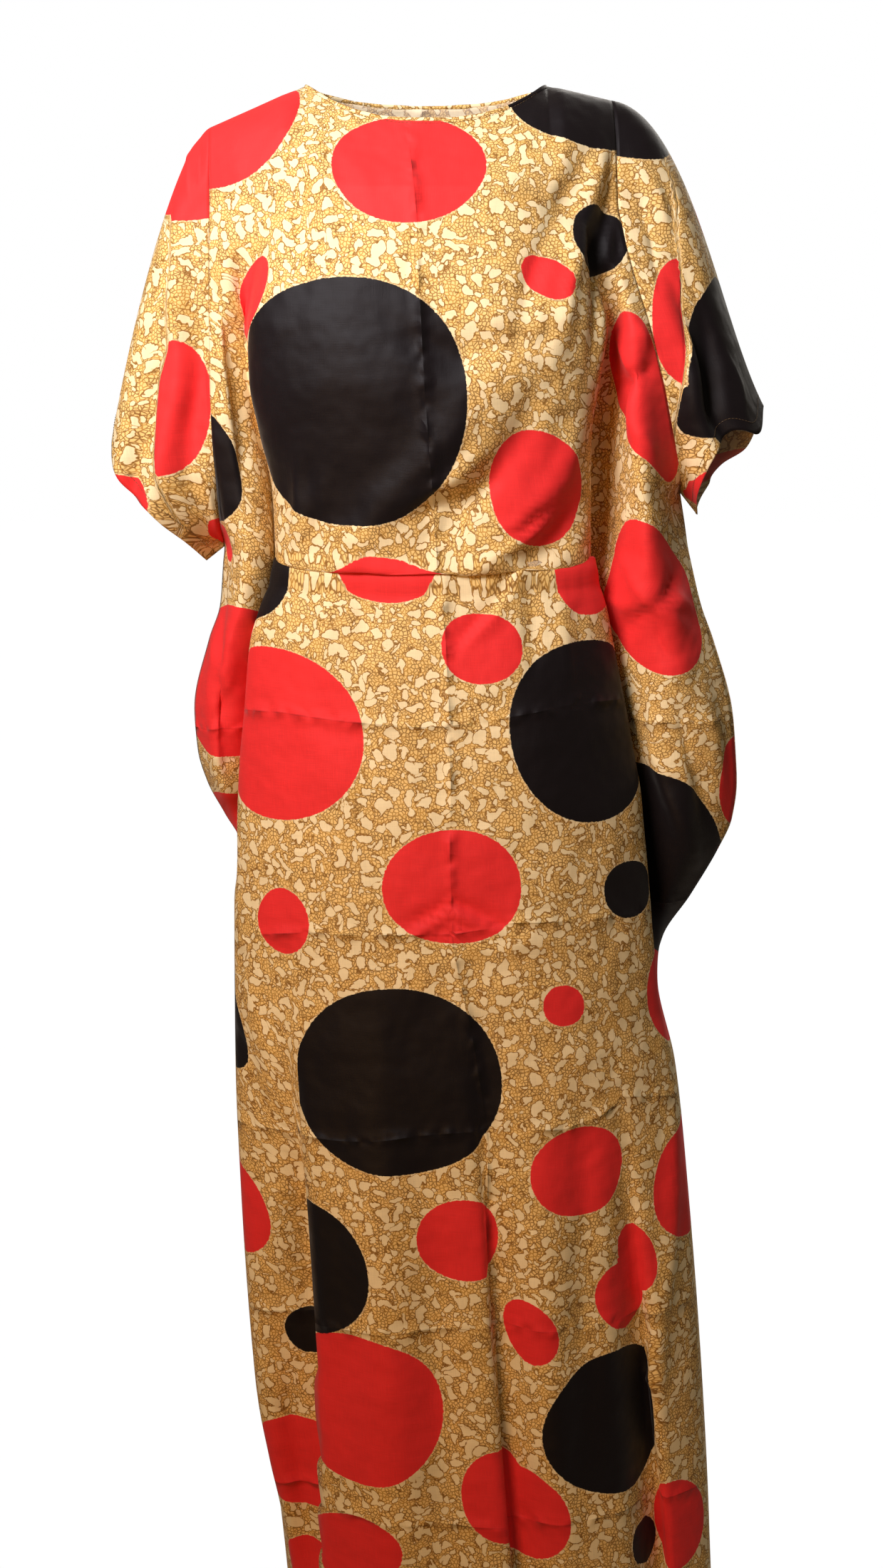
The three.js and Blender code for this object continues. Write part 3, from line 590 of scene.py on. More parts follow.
BACK_CREASES = (
    ("soft", 3.5, 12, ((-150, 60), (-120, 130), (-100, 210), (-92, 300))),
    ("soft", -3.5, 13, ((-110, 70), (-84, 150), (-64, 240), (-58, 330))),
    ("soft", 3.0, 12, ((140, 70), (118, 140), (96, 220), (90, 300))),
    ("soft", -4.0, 14, ((60, 90), (52, 200), (64, 320), (70, 430))),
    ("soft", 3.0, 10, ((-20, 60), (-12, 140), (-18, 240))),
    ("soft", -3.0, 16, ((-60, 350), (10, 372), (80, 350))),
    ("soft", 3.0, 14, ((-90, 402), (-20, 424), (60, 408))),
    ("soft", 5.0, 22, ((-120, 460), (-134, 620), (-140, 800), (-150, 1000))),
    ("soft", -4.0, 18, ((-20, 520), (-12, 700), (-8, 900), (-4, 1100))),
    ("soft", 4.5, 20, ((84, 480), (92, 640), (100, 820), (104, 1000))),
    ("soft", 4.0, 20, ((10, 900), (16, 1100), (20, 1380))),
    ("soft", -4.0, 16, ((-190, 700), (-196, 900), (-206, 1150), (-210, 1380))),
    ("soft", 3.5, 14, ((206, 620), (214, 800), (220, 1000))),
    ("press", 3.0, 8, ((-260, 380), (-230, 420), (-212, 470))),
    ("press", -3.0, 8, ((-200, 400), (-230, 420), (-262, 450))),
    ("press", 3.0, 8, ((262, 400), (236, 450), (226, 510))),
    ("press", -2.6, 7, ((206, 430), (236, 450), (262, 470))),
    ("soft", 3.0, 10, ((-246, 560), (-236, 640), (-240, 720))),
)
SLEEVE_CREASES = {
    LEFT_SIDE: (
        ("press", -2.4, 6, ((26, 44), (12, 60), (8, 84))),
        ("press", 2.2, 6, ((34, 52), (20, 72), (16, 96))),
        ("soft", -5.0, 10, ((6, 196), (8, 250), (16, 300), (22, 350))),
        ("soft", 3.0, 8, ((28, 110), (24, 180), (26, 250))),
        ("soft", 2.4, 8, ((16, 300), (10, 340), (10, 380))),
        ("press", -2.0, 7, ((100, 200), (112, 240), (110, 290))),
    ),
    RIGHT_SIDE: (
        ("press", -3.0, 7, ((4, 70), (16, 96), (22, 130), (16, 170))),
        ("press", 2.6, 7, ((12, 64), (28, 90), (36, 124))),
        ("soft", -2.4, 8, ((26, 76), (46, 110), (50, 150))),
        ("soft", -4.0, 10, ((112, 190), (104, 230), (92, 280))),
        ("soft", 3.0, 8, ((90, 200), (84, 240), (74, 286))),
        ("press", 2.0, 7, ((124, 220), (132, 250), (120, 286))),
    ),
}

PRESS_LINES = {  # creases left by the folded packet: they run right across a panel or down it
    "front": (
        ((-420, 568), (-142, 560), (-75, 565), (-15, 569), (22, 566), (68, 559), (122, 551), (420, 556)),
        ((-420, 772), (-208, 767), (-173, 754), (-123, 746), (-38, 744), (6, 743), (56, 734), (136, 736),
         (420, 744)),
        ((-420, 932), (-104, 927), (-32, 919), (37, 914), (95, 916), (130, 909), (157, 895), (212, 904),
         (420, 908)),
        ((-420, 1104), (-160, 1100), (20, 1092), (180, 1096), (420, 1090)),
        ((-420, 1276), (-160, 1270), (20, 1276), (180, 1268), (420, 1272)),
        ((-16, -60), (-16, 22), (-11, 77), (-7, 122), (-2, 300), (6, 498), (7, 556), (6, 616), (3, 675),
         (3, 755), (16, 829), (29, 930), (28, 1093), (34, 1158), (31, 1312), (31, 1500)),
    ),
    "back": (
        ((-420, 214), (-100, 208), (60, 212), (420, 206)),
        ((-420, 392), (-90, 386), (70, 390), (420, 384)),
        ((-420, 566), (-120, 562), (60, 570), (420, 560)),
        ((-420, 744), (-100, 748), (80, 741), (420, 745)),
        ((-420, 920), (-100, 916), (90, 922), (420, 915)),
        ((-420, 1098), (-120, 1094), (100, 1099), (420, 1092)),
        ((-420, 1274), (-100, 1276), (80, 1270), (420, 1275)),
        ((4, -60), (2, 120), (-4, 360), (-6, 620), (-2, 900), (5, 1200), (6, 1500)),
    ),
}

# Straight joins: print lost in it, half width, share of its line over which it opens, line.
SLEEVE_JOINS = {
    LEFT_SIDE: (60, 1.2, 0.05, ((34, 100), (33, 186), (32, 220), (38, 247), (40, 269), (40, 299), (40, 327),
                                (38, 345), (36, 420))),
    RIGHT_SIDE: (60, 1.2, 0.05, ((43, 60), (43, 127), (43, 148), (29, 198), (13, 252), (-2, 300))),
}
FRONT_TUCK = (-70, 7, 0.27, ((-148, 800), (-149, 870), (-153, 935), (-157, 1003), (-160, 1099), (-164, 1198),
                             (-172, 1342), (-174, 1500)))

FRONT_DOTS = (  # colour, across, down, half width, half height, tilt, seed of the wobble
    ("red", -191, 20, 70, 70, 0, 0.3),
    ("red", -15, 69.5, 63.5, 54, 0, 1.1),
    ("black", 161, -31, 90, 90, 0, 2.0),
    ("black", 155, 134, 31, 28, 20, 0.8),
    ("red", 101, 166, 24, 15.5, 34, 2.2),
    ("red", -163, 182, 18, 40, 36, 0.4),
    ("black", -72, 265, 102, 101, 0, 1.7),
    ("black", -289, 313, 50, 54, 0, 0.2),
    ("red", -298, 384, 16, 18, 0, 0.0),
    ("red", 91, 337, 43, 47, 0, 0.5),
    ("red", 268, 262, 94, 27, 45, 0.9),
    ("red", -43, 425, 54, 37, 0, 1.4),
    ("red", 138, 438, 37, 41, 0, 0.7),
    ("black", -178, 440, 46, 43, 0, 0.1),
    ("red", 296, 435, 48, 80, -38, 1.9),
    ("red", 36, 502, 34, 31, 0, 0.6),
    ("black", 134, 575, 76, 78, 0, 1.2),
    ("red", -150, 578, 82, 74, 0, 0.9),
    ("red", -300, 516, 78, 80, 0, 1.6),
    ("red", -300, 668, 44, 34, 0, 0.8),
    ("red", 4, 703, 58, 49, 0, 2.4),
    ("red", -149, 739, 27, 28, 30, 0.2),
    ("black", 172, 715, 31, 25, 0, 1.0),
    ("black", 292, 698, 84, 97, 0, 0.6),
    ("red", 412, 625, 36, 52, 0, 0.0),
    ("red", 97, 808, 19, 18, 0, 0.3),
    ("red", 236, 815, 48, 46, 0, 1.3),
    ("black", -51, 873, 91, 82, 0, 2.8),
    ("black", -252, 838, 42, 42, 20, 0.0),
    ("red", -316, 1008, 44, 44, 0, 0.0),
    ("red", 111, 955, 44, 40, 0, 1.8),
    ("red", 243, 982, 53, 52, 0, 0.4),
    ("red", -1, 1013, 39, 37, 0, 2.1),
    ("black", -149, 1046, 64, 62, 0, 0.7),
    ("black", -250, 1119, 23, 22, -30, 0.5),
    ("red", -104, 1169, 76, 70, 0, 1.5),
    ("red", -270, 1250, 52, 46, 0, 0.6),
    ("red", -278, 1352, 28, 24, 0, 0.0),
    ("red", -120, 1304, 49, 33, -12, 1.0),
    ("red", 24, 1248, 40, 43, 0, 0.2),
    ("red", 60, 1267, 39, 43, -20, 1.1),
    ("red", 68, 1096, 22, 31, -28, 0.4),
    ("red", 178, 1043, 20, 35, -30, 0.9),
    ("red", 160, 1074, 33, 29, 40, 1.8),
    ("black", 154, 1187, 70, 66, 10, 2.6),
    ("black", 182, 1309, 22, 22, 0, 0.5),
    ("red", 240, 1297, 36, 43, 0, 0.8),
)
BACK_DOTS = (
    ("red", 158, 38, 66, 62, 0, 1.0),
    ("black", -34, 132, 92, 84, 0, 0.4),
    ("black", -150, 52, 28, 24, 20, 1.2),
    ("red", -168, 158, 38, 42, 0, 2.0),
    ("red", 96, 236, 38, 32, 10, 0.7),
    ("black", 204, 300, 72, 66, 0, 0.3),
    ("red", -62, 300, 56, 50, 0, 1.6),
    ("red", 40, 372, 24, 28, 20, 0.9),
    ("black", -196, 424, 76, 68, 0, 0.8),
    ("red", -268, 272, 42, 50, 0, 0.1),
    ("red", 116, 474, 64, 56, 0, 1.9),
    ("black", -26, 508, 36, 32, 0, 0.5),
    ("red", 268, 520, 60, 66, 0, 1.3),
    ("red", -112, 622, 54, 50, 0, 2.2),
    ("black", 62, 664, 90, 80, 0, 1.1),
    ("red", 226, 700, 40, 48, 0, 0.6),
    ("red", -250, 640, 46, 60, 0, 0.2),
    ("black", -206, 772, 44, 38, 0, 1.4),
    ("red", -42, 792, 30, 34, 30, 0.3),
    ("red", 158, 836, 56, 50, 0, 2.4),
    ("black", -96, 912, 84, 76, 0, 0.9),
    ("red", 52, 934, 44, 42, 0, 1.7),
    ("red", -236, 1010, 48, 54, 0, 0.4),
    ("black", 172, 1048, 78, 70, 0, 2.0),
    ("red", -14, 1084, 64, 58, 0, 1.2),
    ("black", -152, 1156, 34, 30, 20, 0.6),
    ("red", 78, 1226, 50, 46, 0, 1.8),
    ("red", -206, 1276, 58, 54, 0, 0.7),
    ("black", -56, 1336, 72, 64, 0, 2.3),
    ("red", 212, 1236, 34, 42, 0, 0.5),
    ("black", 156, 1374, 30, 26, 0, 0.9),
    ("red", 40, 1440, 38, 34, 0, 0.2),
)
SLEEVE_DOTS = {
    LEFT_SIDE: (
        ("red", 30, -4, 130, 121, 0, 0.6),
        ("red", 36, 272, 36, 57, -10, 0.2),
        ("red", 8, 379, 18, 16, 0, 0.0),
        ("red", 131, 351, 25, 26, 0, 1.0),
        ("black", 196, 172, 44, 52, 0, 0.8),
        ("red", 190, 330, 28, 30, 0, 0.4),
    ),
    RIGHT_SIDE: (
        ("black", 22, -16, 76, 82, 0, 0.4),
        ("red", 30, 200, 27, 54, 16, 0.0),
        ("black", 136, 235, 52, 78, 27, 0.3),
        ("black", 84, 274, 22, 22, 0, 0.5),
        ("red", 90, 338, 16, 16, 0, 0.2),
        ("red", 196, 330, 30, 26, 0, 0.7),
        ("red", 190, 96, 44, 40, 0, 1.5),
    ),
}


PANEL_CREASES = {"front": FRONT_CREASES, "back": BACK_CREASES}
PANEL_DOTS = {"front": FRONT_DOTS, "back": BACK_DOTS}


# ---- The grids of the pieces ---------------------------------------------------------------------
SEAM_CLEAR = 0.5  # stations beside a side seam over which the creases fade
PANEL_CLEAR, SLEEVE_CLEAR = 4, 3  # rows from a panel's or a sleeve's upper edge over which they fade


def panel_grid(face):
    """The points of a panel before its creases, their places in its cut, and its columns' stations."""
    if face == "front":
        side, station = panel_columns(front_stations, LEFT_SIDE, RIGHT_SIDE)
        points, cut = panel(front_level, (side, station), NECK_FRONT)
        overhang(points, cut, station)
        return points, joined(cut, FRONT_TUCK)[0], station
    side, station = panel_columns(back_stations, RIGHT_SIDE, LEFT_SIDE)
    points, cut = panel(back_level, (side, station), NECK_BACK)
    return points, cut, station


def creased(points, cut, creases, edges, ring=False):
    """Raises the creases along the cloth's normals, fading out at the seams."""
    height = crease_height(cut, creases) * edges * bpy.context.scene.baati_cloth.creases
    return points + grid_normals(points, ring) * height[..., None]


def rows_fade(points, rows):
    """Rises from 0 at the upper edge of a grid to 1 some rows below it."""
    return smooth(0, rows, np.arange(len(points), dtype=float))[:, None]


def seam_fade(points, station):
    """Keeps the creases off a panel's side seams and its upper edge."""
    return np.minimum(smooth(0, SEAM_CLEAR, STATIONS - station)[None, :], rows_fade(points, PANEL_CLEAR))


def creased_panel(face):
    """A panel's points with its creases, their places in its cut, and its columns' stations."""
    points, cut, station = panel_grid(face)
    return creased(points, cut, PANEL_CREASES[face], seam_fade(points, station)), cut, station


def armhole(front, back, side):
    """The armhole as a ring: down the front's edge and up the back's. Also its halves and shares."""
    front_edge = front[:, 0 if side < 0 else -1]
    back_edge = back[:, -1 if side < 0 else 0]
    count = int(np.sum(front_edge[:, 2] >= UNDERARMS[side] - UNDERARM_SLACK))
    down, up = front_edge[:count].copy(), back_edge[:count]
    down[0, 1] = down[-1, 1] = 0
    share = np.linspace(0, 1, count)
    ring = np.concatenate([down, up[1:-1][::-1]])
    shares = np.concatenate([share, share[1:-1][::-1]])
    at_front = np.concatenate([np.ones(count, bool), np.zeros(count - 2, bool)])
    if side > 0:
        order = np.concatenate([[0], np.arange(len(ring) - 1, 0, -1)])
        ring, shares, at_front = ring[order], shares[order], at_front[order]
    return ring, shares, at_front


def sleeve_grid(front, back, side):
    """Points of a sleeve, in rows from the armhole to the cuff, and their places in its cut."""
    ring, shares, at_front = armhole(front, back, side)
    cuffs = CUFFS[side]
    ends = {
        half: spline(np.array(cuffs[half], float)[None], shares)[0] * np.array([side, 1, 1])
        for half in ("front", "back")
    }
    end = np.where(at_front[:, None], ends["front"], ends["back"])
    top = np.cos(shares * math.pi / 2) ** SLEEVE_TOP_POWER
    near, far = (
        mix(ring, end, (n + 1) / 3) + top[:, None] * np.array([side * out, 0, up])
        for n, (out, up) in enumerate(cuffs["lift"])
    )
    t = np.linspace(0, 1, SLEEVE_ROWS + 1)[:, None, None]
    points = (1 - t) ** 3 * ring + 3 * (1 - t) ** 2 * t * near + 3 * (1 - t) * t**2 * far + t**3 * end
    normal = grid_normals(points, ring=True)
    depth = np.zeros(points.shape[:2])
    for half, place, width, deep in SLEEVE_FOLDS[side]:
        on_half = at_front if half == "front" else ~at_front
        depth += deep * t[..., 0] * np.where(on_half, np.exp(-(((shares - place) / width) ** 2)), 0)
    points = points - normal * depth[..., None]
    return points, sleeve_cut(points, ring[at_front], at_front)


def sleeve_cut(points, seam, at_front):
    """Places in a sleeve's cut: round from the front of the armhole, and down from the shoulder line."""
    seam = seam[np.argsort(-seam[:, 2])]
    fall = -points[..., 2]
    seam_x = np.interp(fall, -seam[:, 2], np.abs(seam[:, 0]))
    levels = np.arange(fall.min(), fall.max() + SLEEVE_LEVEL, SLEEVE_LEVEL)
    reach, depth = (
        np.array([np.abs(points[..., k])[np.abs(fall - level) < SLEEVE_LEVEL].max() for level in levels])
        for k in (0, 1)
    )
    wide = np.maximum(np.interp(fall, levels, reach) - seam_x, LEAST_GIRTH)
    deep = np.maximum(np.interp(fall, levels, depth), LEAST_GIRTH)
    turn = np.arctan2(np.abs(points[..., 1]) / deep, np.maximum(np.abs(points[..., 0]) - seam_x, 0) / wide)
    quarter = math.pi / 2 * np.sqrt((wide**2 + deep**2) / 2)
    share = turn / (math.pi / 2)
    return np.stack([quarter * np.where(at_front, 1 - share, 1 + share), fall], axis=2)


# ---- Making meshes -------------------------------------------------------------------------------
NECK_CLEAR = 20  # keeps the look of a seam off the neckline
NECK_CLEAR_ENDS = (1.8, 2.2)  # stations over which it stops doing so
NO_SEAM = 50.0  # for the binding, which has none


def marks_of(cut, dots, lines, seam):
    """What the material needs to know at each point of a piece: distances in millimetres."""
    return {
        "red_dots": dot_distance(cut, dots, "red"),
        "black_dots": dot_distance(cut, dots, "black"),
        "press": press_distance(cut, lines),
        "seam": seam,
    }


def panel_seam(cut, station):
    """Distance from a panel's side and shoulder seams. The neckline has none."""
    across, down = cut[..., 0], cut[..., 1]
    sides = np.minimum(across - across.min(axis=1, keepdims=True), across.max(axis=1, keepdims=True) - across)
    at_neck = 1 - smooth(*NECK_CLEAR_ENDS, station)[None, :]
    return np.minimum(sides, down - down[0] + NECK_CLEAR * at_neck)


def sleeve_reach(points):
    """Distance of a sleeve's points from the armhole, along the cloth."""
    steps = np.linalg.norm(np.diff(points, axis=0), axis=2)
    return np.concatenate([np.zeros((1, points.shape[1])), np.cumsum(steps, axis=0)])


def cloth_object(name, points, cut, marks, materials, ring=False, thin=True):
    """A piece of cloth from a grid of points in millimetres, with its printed face outwards.

    A thin one gets the cloth's thickness and its wrong side; the others are whole as they are.
    """
    rows, columns = points.shape[:2]
    index = np.arange(rows * columns).reshape(rows, columns)
    nxt = np.roll(index, -1, axis=1) if ring else index[:, 1:]
    here = index if ring else index[:, :-1]
    quads = np.stack([here[:-1], here[1:], nxt[1:], nxt[:-1]], axis=2).reshape(-1, 4)
    mesh = bpy.data.meshes.new(name)
    mesh.from_pydata((points.reshape(-1, 3) * MM).tolist(), [], quads.tolist())
    layer = mesh.uv_layers.new(name="cut")
    layer.data.foreach_set("uv", (cut.reshape(-1, 2)[quads.ravel()] * MM).ravel())
    for mark, values in marks.items():
        attribute = mesh.attributes.new(mark, "FLOAT", "POINT")
        attribute.data.foreach_set("value", np.ascontiguousarray(values, dtype=float).ravel())
    mesh.shade_smooth()
    for material in materials:
        mesh.materials.append(material)
    obj = bpy.data.objects.new(name, mesh)
    bpy.context.scene.collection.objects.link(obj)
    if thin:
        wall = obj.modifiers.new("cloth thickness", "SOLIDIFY")
        wall.thickness = bpy.context.scene.baati_cloth.thickness
        wall.offset = -1
        wall.use_even_offset = False
        wall.material_offset = 1
        wall.material_offset_rim = 1
    return obj


def plain_object(name, points, faces, material):
    """A small piece without thickness or marks, such as a row of stitches, from points in millimetres."""
    mesh = bpy.data.meshes.new(name)
    mesh.from_pydata((np.asarray(points) * MM).tolist(), [], [tuple(face) for face in faces])
    mesh.shade_smooth()
    mesh.materials.append(material)
    obj = bpy.data.objects.new(name, mesh)
    bpy.context.scene.collection.objects.link(obj)
    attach(obj, "root")
    return obj


def along_path(path, places):
    """The points at the given distances along a broken line, with what else its columns hold."""
    steps = np.linalg.norm(np.diff(path[:, :3], axis=0), axis=1)
    lengths = np.concatenate([[0], np.cumsum(steps)])
    return np.stack([np.interp(places, lengths, path[:, k]) for k in range(path.shape[1])], axis=1)


def stitch_row(name, line, normals, material):
    """A row of machine stitches along a line of the cloth, each a short low arch of thread."""
    path = np.concatenate([line, normals], axis=1)
    total = np.linalg.norm(np.diff(line, axis=0), axis=1).sum()
    count = int(total / STITCH["pitch"])
    centres = (np.arange(count) + 0.5) * total / count
    thick = STITCH["thread"] / 2
    rings = []
    for share, height in STITCH_ARCH:
        before, here, ahead = (
            along_path(path, np.clip(centres + share * STITCH["length"] + step, 0, total))
            for step in (-STITCH["lead"], 0, STITCH["lead"])
        )
        tangent = ahead[:, :3] - before[:, :3]
        tangent /= np.linalg.norm(tangent, axis=1, keepdims=True)
        up = here[:, 3:]
        side = np.cross(tangent, up)
        middle = here[:, :3] + up * height
        rings.append(np.stack([middle + way * thick for way in (side, up, -side, -up)], axis=1))
    points = np.stack(rings, axis=1)  # stitch, ring, corner, xyz
    index = np.arange(points.size // 3).reshape(points.shape[:3])
    after = np.roll(index, -1, axis=2)
    walls = np.stack([index[:, :-1], after[:, :-1], after[:, 1:], index[:, 1:]], axis=-1).reshape(-1, 4)
    faces = np.concatenate([index[:, 0, ::-1], index[:, -1], walls])
    obj = plain_object(name, points.reshape(-1, 3), faces, material)
    return obj


def contour(points, values, level, ring=False):
    """The line along which a grid's values, which fall from row to row, reach a level, and its normals."""
    normals = grid_normals(points, ring)
    line, out = [], []
    for column in range(points.shape[1]):
        below = values[:, column] < level
        row = int(np.argmax(below))
        high, low = values[row - 1, column], values[row, column]
        share = (high - level) / max(high - low, 1e-9)
        line.append(mix(points[row - 1, column], points[row, column], share))
        out.append(mix(normals[row - 1, column], normals[row, column], share))
    if ring:
        line.append(line[0])
        out.append(out[0])
    out = np.array(out)
    return np.array(line), out / np.linalg.norm(out, axis=1, keepdims=True)


def declare(obj, node):
    """Hangs a piece of cloth under the root and hides the part of the model that it replaces."""
    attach(obj, "root")
    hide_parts(node)


# ---- Materials -----------------------------------------------------------------------------------
NOISES = {  # size of the noise as repeats in a millimetre, and its detail
    "quick sway": (0.10, 3.0),
    "slow sway": (0.045, 1.0),
    "deep patches": (0.03, 2.0),
    "brown patches": (0.09, 2.0),
    "bleed": (0.35, 3.0),
    "slubs": (1.3, 2.0),
    "dye": (0.02, 3.0),
    "wear": (0.05, 1.0),
    "crumple": (0.022, 2.0),
}
SWAY = {"quick": 9.0, "slow": 16.0, "bubbles": 2.5}  # how far the noises push the print about, in millimetres
NET_EDGE = (0.05, 0.22)  # of the net between the bubbles, in shares of their pitch
NET_SHARE = 0.85  # how strongly the net is printed
CRACK_PITCH = 19.0  # of the brown veins that part groups of bubbles
CRACK_EDGE = (0.006, 0.036)
CRACK_SHARE = 0.6
PEBBLE_LAYERS = (  # share of the pebbles' pitch, then the smallest and the largest size, in pitches
    (1.0, 0.16, 0.42),
    (0.56, -0.34, 0.38),
)
PEBBLE_EDGE = (-0.28, 0.16)  # distances from its edge between which a pebble ends, in millimetres
RIM = {"out": 0.48, "edge": (0.16, 0.66), "share": 0.82}
DEEP_FROM = 0.45  # noise above which the bubbles are darker
BROWN_EDGE = (0.40, 0.58)
HALO = {"edge": (0.6, 1.9), "share": 0.35}  # the pale edge round a dot
BLEED = 1.6  # how ragged the dots' edges are, in millimetres
DOT_EDGE = (-0.3, 0.3)
# Brightness of the cloth: its least, the slubs and the uneven dye; the line and seam shares are painted shade
# along the pressed lines and at the seams.
TONE_AND_SHADE = {"least": 0.77, "threads": 0.16, "dye": 0.14, "line": 0.28, "seam": 0.16}
# width of the painted shade along a pressed line, in millimetres
PRESS_SHADE_EDGE = (0.2, 1.1)
# width of the painted shade along a seam, the shadow of its thread, in millimetres
SEAM_SHADE_EDGE = (0.1, 0.9)
WEAR = {"from": 0.30, "gain": 2.4}  # the pressed lines are clear in some places and gone in others
WRONG_SIDE = (0.62, 0.56, 0.50)
WEAVE = {"scale": 0.55, "height": 0.35, "threads": 0.9, "strength": 0.35, "distance": 0.00025}
RIDGE = {"width": 13.0, "power": 2.2, "height": 4.4}  # of the pressed lines, in millimetres
SEAM_SUNK = {"edge": (0.0, 3.0), "depth": -0.4}
FINISH = {"rough": 0.66, "black": 0.10}  # how rough the cloth is, and how much less so on the black dots
GLOSS = {"Sheen Weight": 0.07, "Sheen Roughness": 0.45, "Sheen Tint": (1.0, 0.95, 0.9, 1.0),
         "Specular IOR Level": 0.18}
THREAD = {"dark": (0.05, 0.03, 0.012, 1), "light": (0.15, 0.09, 0.035, 1), "rough": 0.55,
          "twist": 900.0, "strength": 0.4, "distance": 0.0002}


class Nodes:
    """Short calls for adding shader nodes and joining them up."""

    def __init__(self, tree):
        self.tree = tree

    def add(self, kind, settings=(), **inputs):
        """A node with its settings, and its inputs by name, with _ for a space."""
        node = self.tree.nodes.new(kind)
        for name, value in dict(settings).items():
            setattr(node, name, value)
        for name, value in inputs.items():
            self.put(node, name.replace("_", " "), value)
        return node

    def put(self, node, which, value):
        """Sets an input, by its name or number, or joins another node's output to it."""
        if isinstance(value, bpy.types.NodeSocket):
            self.tree.links.new(value, node.inputs[which])
        else:
            node.inputs[which].default_value = value

    def with_inputs(self, node, values, first=0):
        """The node with its inputs filled in order."""
        for which, value in enumerate(values, first):
            self.put(node, which, value)
        return node

    def math(self, operation, *values, clamp=False):
        node = self.add("ShaderNodeMath", {"operation": operation, "use_clamp": clamp})
        return self.with_inputs(node, values).outputs[0]

    def plus(self, a, b):
        return self.math("ADD", a, b)

    def minus(self, a, b, clamp=False):
        return self.math("SUBTRACT", a, b, clamp=clamp)

    def times(self, a, b, clamp=False):
        return self.math("MULTIPLY", a, b, clamp=clamp)

    def vector(self, operation, *values):
        return self.with_inputs(self.add("ShaderNodeVectorMath", {"operation": operation}), values).outputs[0]

    def remap(self, value, low, high, at_low, at_high, kind="LINEAR"):
        node = self.add("ShaderNodeMapRange", {"interpolation_type": kind})
        return self.with_inputs(node, (value, low, high, at_low, at_high)).outputs[0]

    def band(self, value, edge):
        """1 where value is below the edge's first number, 0 above its second, smooth between."""
        return self.remap(value, *edge, 1.0, 0.0, "SMOOTHSTEP")

    def blend(self, share, a, b, kind="MIX"):
        node = self.add("ShaderNodeMix", {"data_type": "RGBA", "blend_type": kind})
        self.put(node, 0, share)
        return self.with_inputs(node, (a, b), first=6).outputs[2]

    def noise(self, place, name):
        scale, detail = NOISES[name]
        return self.add(
            "ShaderNodeTexNoise", {"noise_dimensions": "2D"}, Vector=place, Scale=scale, Detail=detail
        ).outputs

    def cells(self, place, pitch, feature, **inputs):
        settings = {"voronoi_dimensions": "2D", "feature": feature}
        return self.add("ShaderNodeTexVoronoi", settings, Vector=place, Scale=1 / pitch, **inputs).outputs

    def swayed(self, place, noise, reach):
        """The place moved sideways by a noise."""
        shift = self.vector("SUBTRACT", noise["Color"], (0.5, 0.5, 0.5))
        return self.vector("MULTIPLY_ADD", shift, (reach, reach, 0.0), place)


def opaque(rgb):
    return (*rgb, 1.0)


def empty_material(name):
    """A material with no nodes yet, and the calls that add them."""
    material = bpy.data.materials.new(name)
    material.use_nodes = True
    material.node_tree.nodes.clear()
    return material, Nodes(material.node_tree)


def pebble_edge(n, place, print_):
    """Distance from the nearest pebble, below 0 inside it: big pebbles, and smaller ones between them."""
    edges = []
    for share, smallest, largest in PEBBLE_LAYERS:
        pitch = share * print_.pebble_pitch
        pebbles = n.cells(place, pitch, "SMOOTH_F1", Randomness=0.85, Smoothness=0.15)
        which = n.add("ShaderNodeSeparateColor", Color=pebbles["Color"]).outputs["Red"]
        size = n.remap(which, 0.0, 1.0, smallest, largest)
        edges.append(n.times(n.minus(pebbles["Distance"], size), pitch))
    return n.math("MINIMUM", *edges)


def bubble_ground(n, swayed, place, slight, print_):
    """Small ochre bubbles in a brown net, darker in patches and parted by brown veins."""
    deep = n.minus(n.noise(place, "deep patches")["Fac"], DEEP_FROM, clamp=True)
    bubble = n.blend(deep, opaque(print_.bubble), opaque(print_.deep_bubble))
    browner = n.band(n.noise(place, "brown patches")["Fac"], BROWN_EDGE)
    line = n.blend(browner, opaque(print_.ochre), opaque(print_.outline))
    bubbles = n.cells(slight, print_.bubble_pitch, "DISTANCE_TO_EDGE", Randomness=0.95)
    net = n.band(bubbles["Distance"], NET_EDGE)
    veins = n.cells(swayed, CRACK_PITCH, "DISTANCE_TO_EDGE", Randomness=1.0)
    cracks = n.band(veins["Distance"], CRACK_EDGE)
    ochre = n.blend(n.times(net, NET_SHARE), bubble, line)
    return n.blend(n.times(cracks, CRACK_SHARE), ochre, opaque(print_.outline))


def pebble_ground(n, place, print_):
    """The ground of the print: cream pebbles with brown rims among small ochre bubbles."""
    quick, slow = n.noise(place, "quick sway"), n.noise(place, "slow sway")
    swayed = n.swayed(n.swayed(place, quick, SWAY["quick"]), slow, SWAY["slow"])
    slight = n.swayed(place, quick, SWAY["bubbles"])
    edge = pebble_edge(n, swayed, print_)
    ochre = bubble_ground(n, swayed, place, slight, print_)
    ground = n.blend(n.band(edge, PEBBLE_EDGE), ochre, opaque(print_.cream))
    rim = n.band(n.math("ABSOLUTE", n.minus(edge, RIM["out"])), RIM["edge"])
    return n.blend(n.times(rim, RIM["share"]), ground, opaque(print_.outline))


def dotted(n, place, print_, red, black):
    """The whole print, with its dots, and where the black ones are."""
    halo = n.band(n.math("MINIMUM", red, black), HALO["edge"])
    ground = n.blend(n.times(halo, HALO["share"]), pebble_ground(n, place, print_), opaque(print_.cream))
    ragged = n.times(n.minus(n.noise(place, "bleed")["Fac"], 0.5), BLEED)
    printed = n.blend(n.band(n.plus(red, ragged), DOT_EDGE), ground, opaque(print_.red))
    in_black = n.band(n.plus(black, ragged), DOT_EDGE)
    return n.blend(in_black, printed, opaque(print_.black)), in_black


def slubs(n, place):
    """The thicker stretches of the threads, across and along."""
    runs = []
    for stretch in ((1.0, 0.05, 1.0), (0.05, 1.0, 1.0)):
        run = n.add("ShaderNodeMapping", Vector=place, Scale=stretch).outputs[0]
        runs.append(n.noise(run, "slubs")["Fac"])
    return n.plus(*runs)


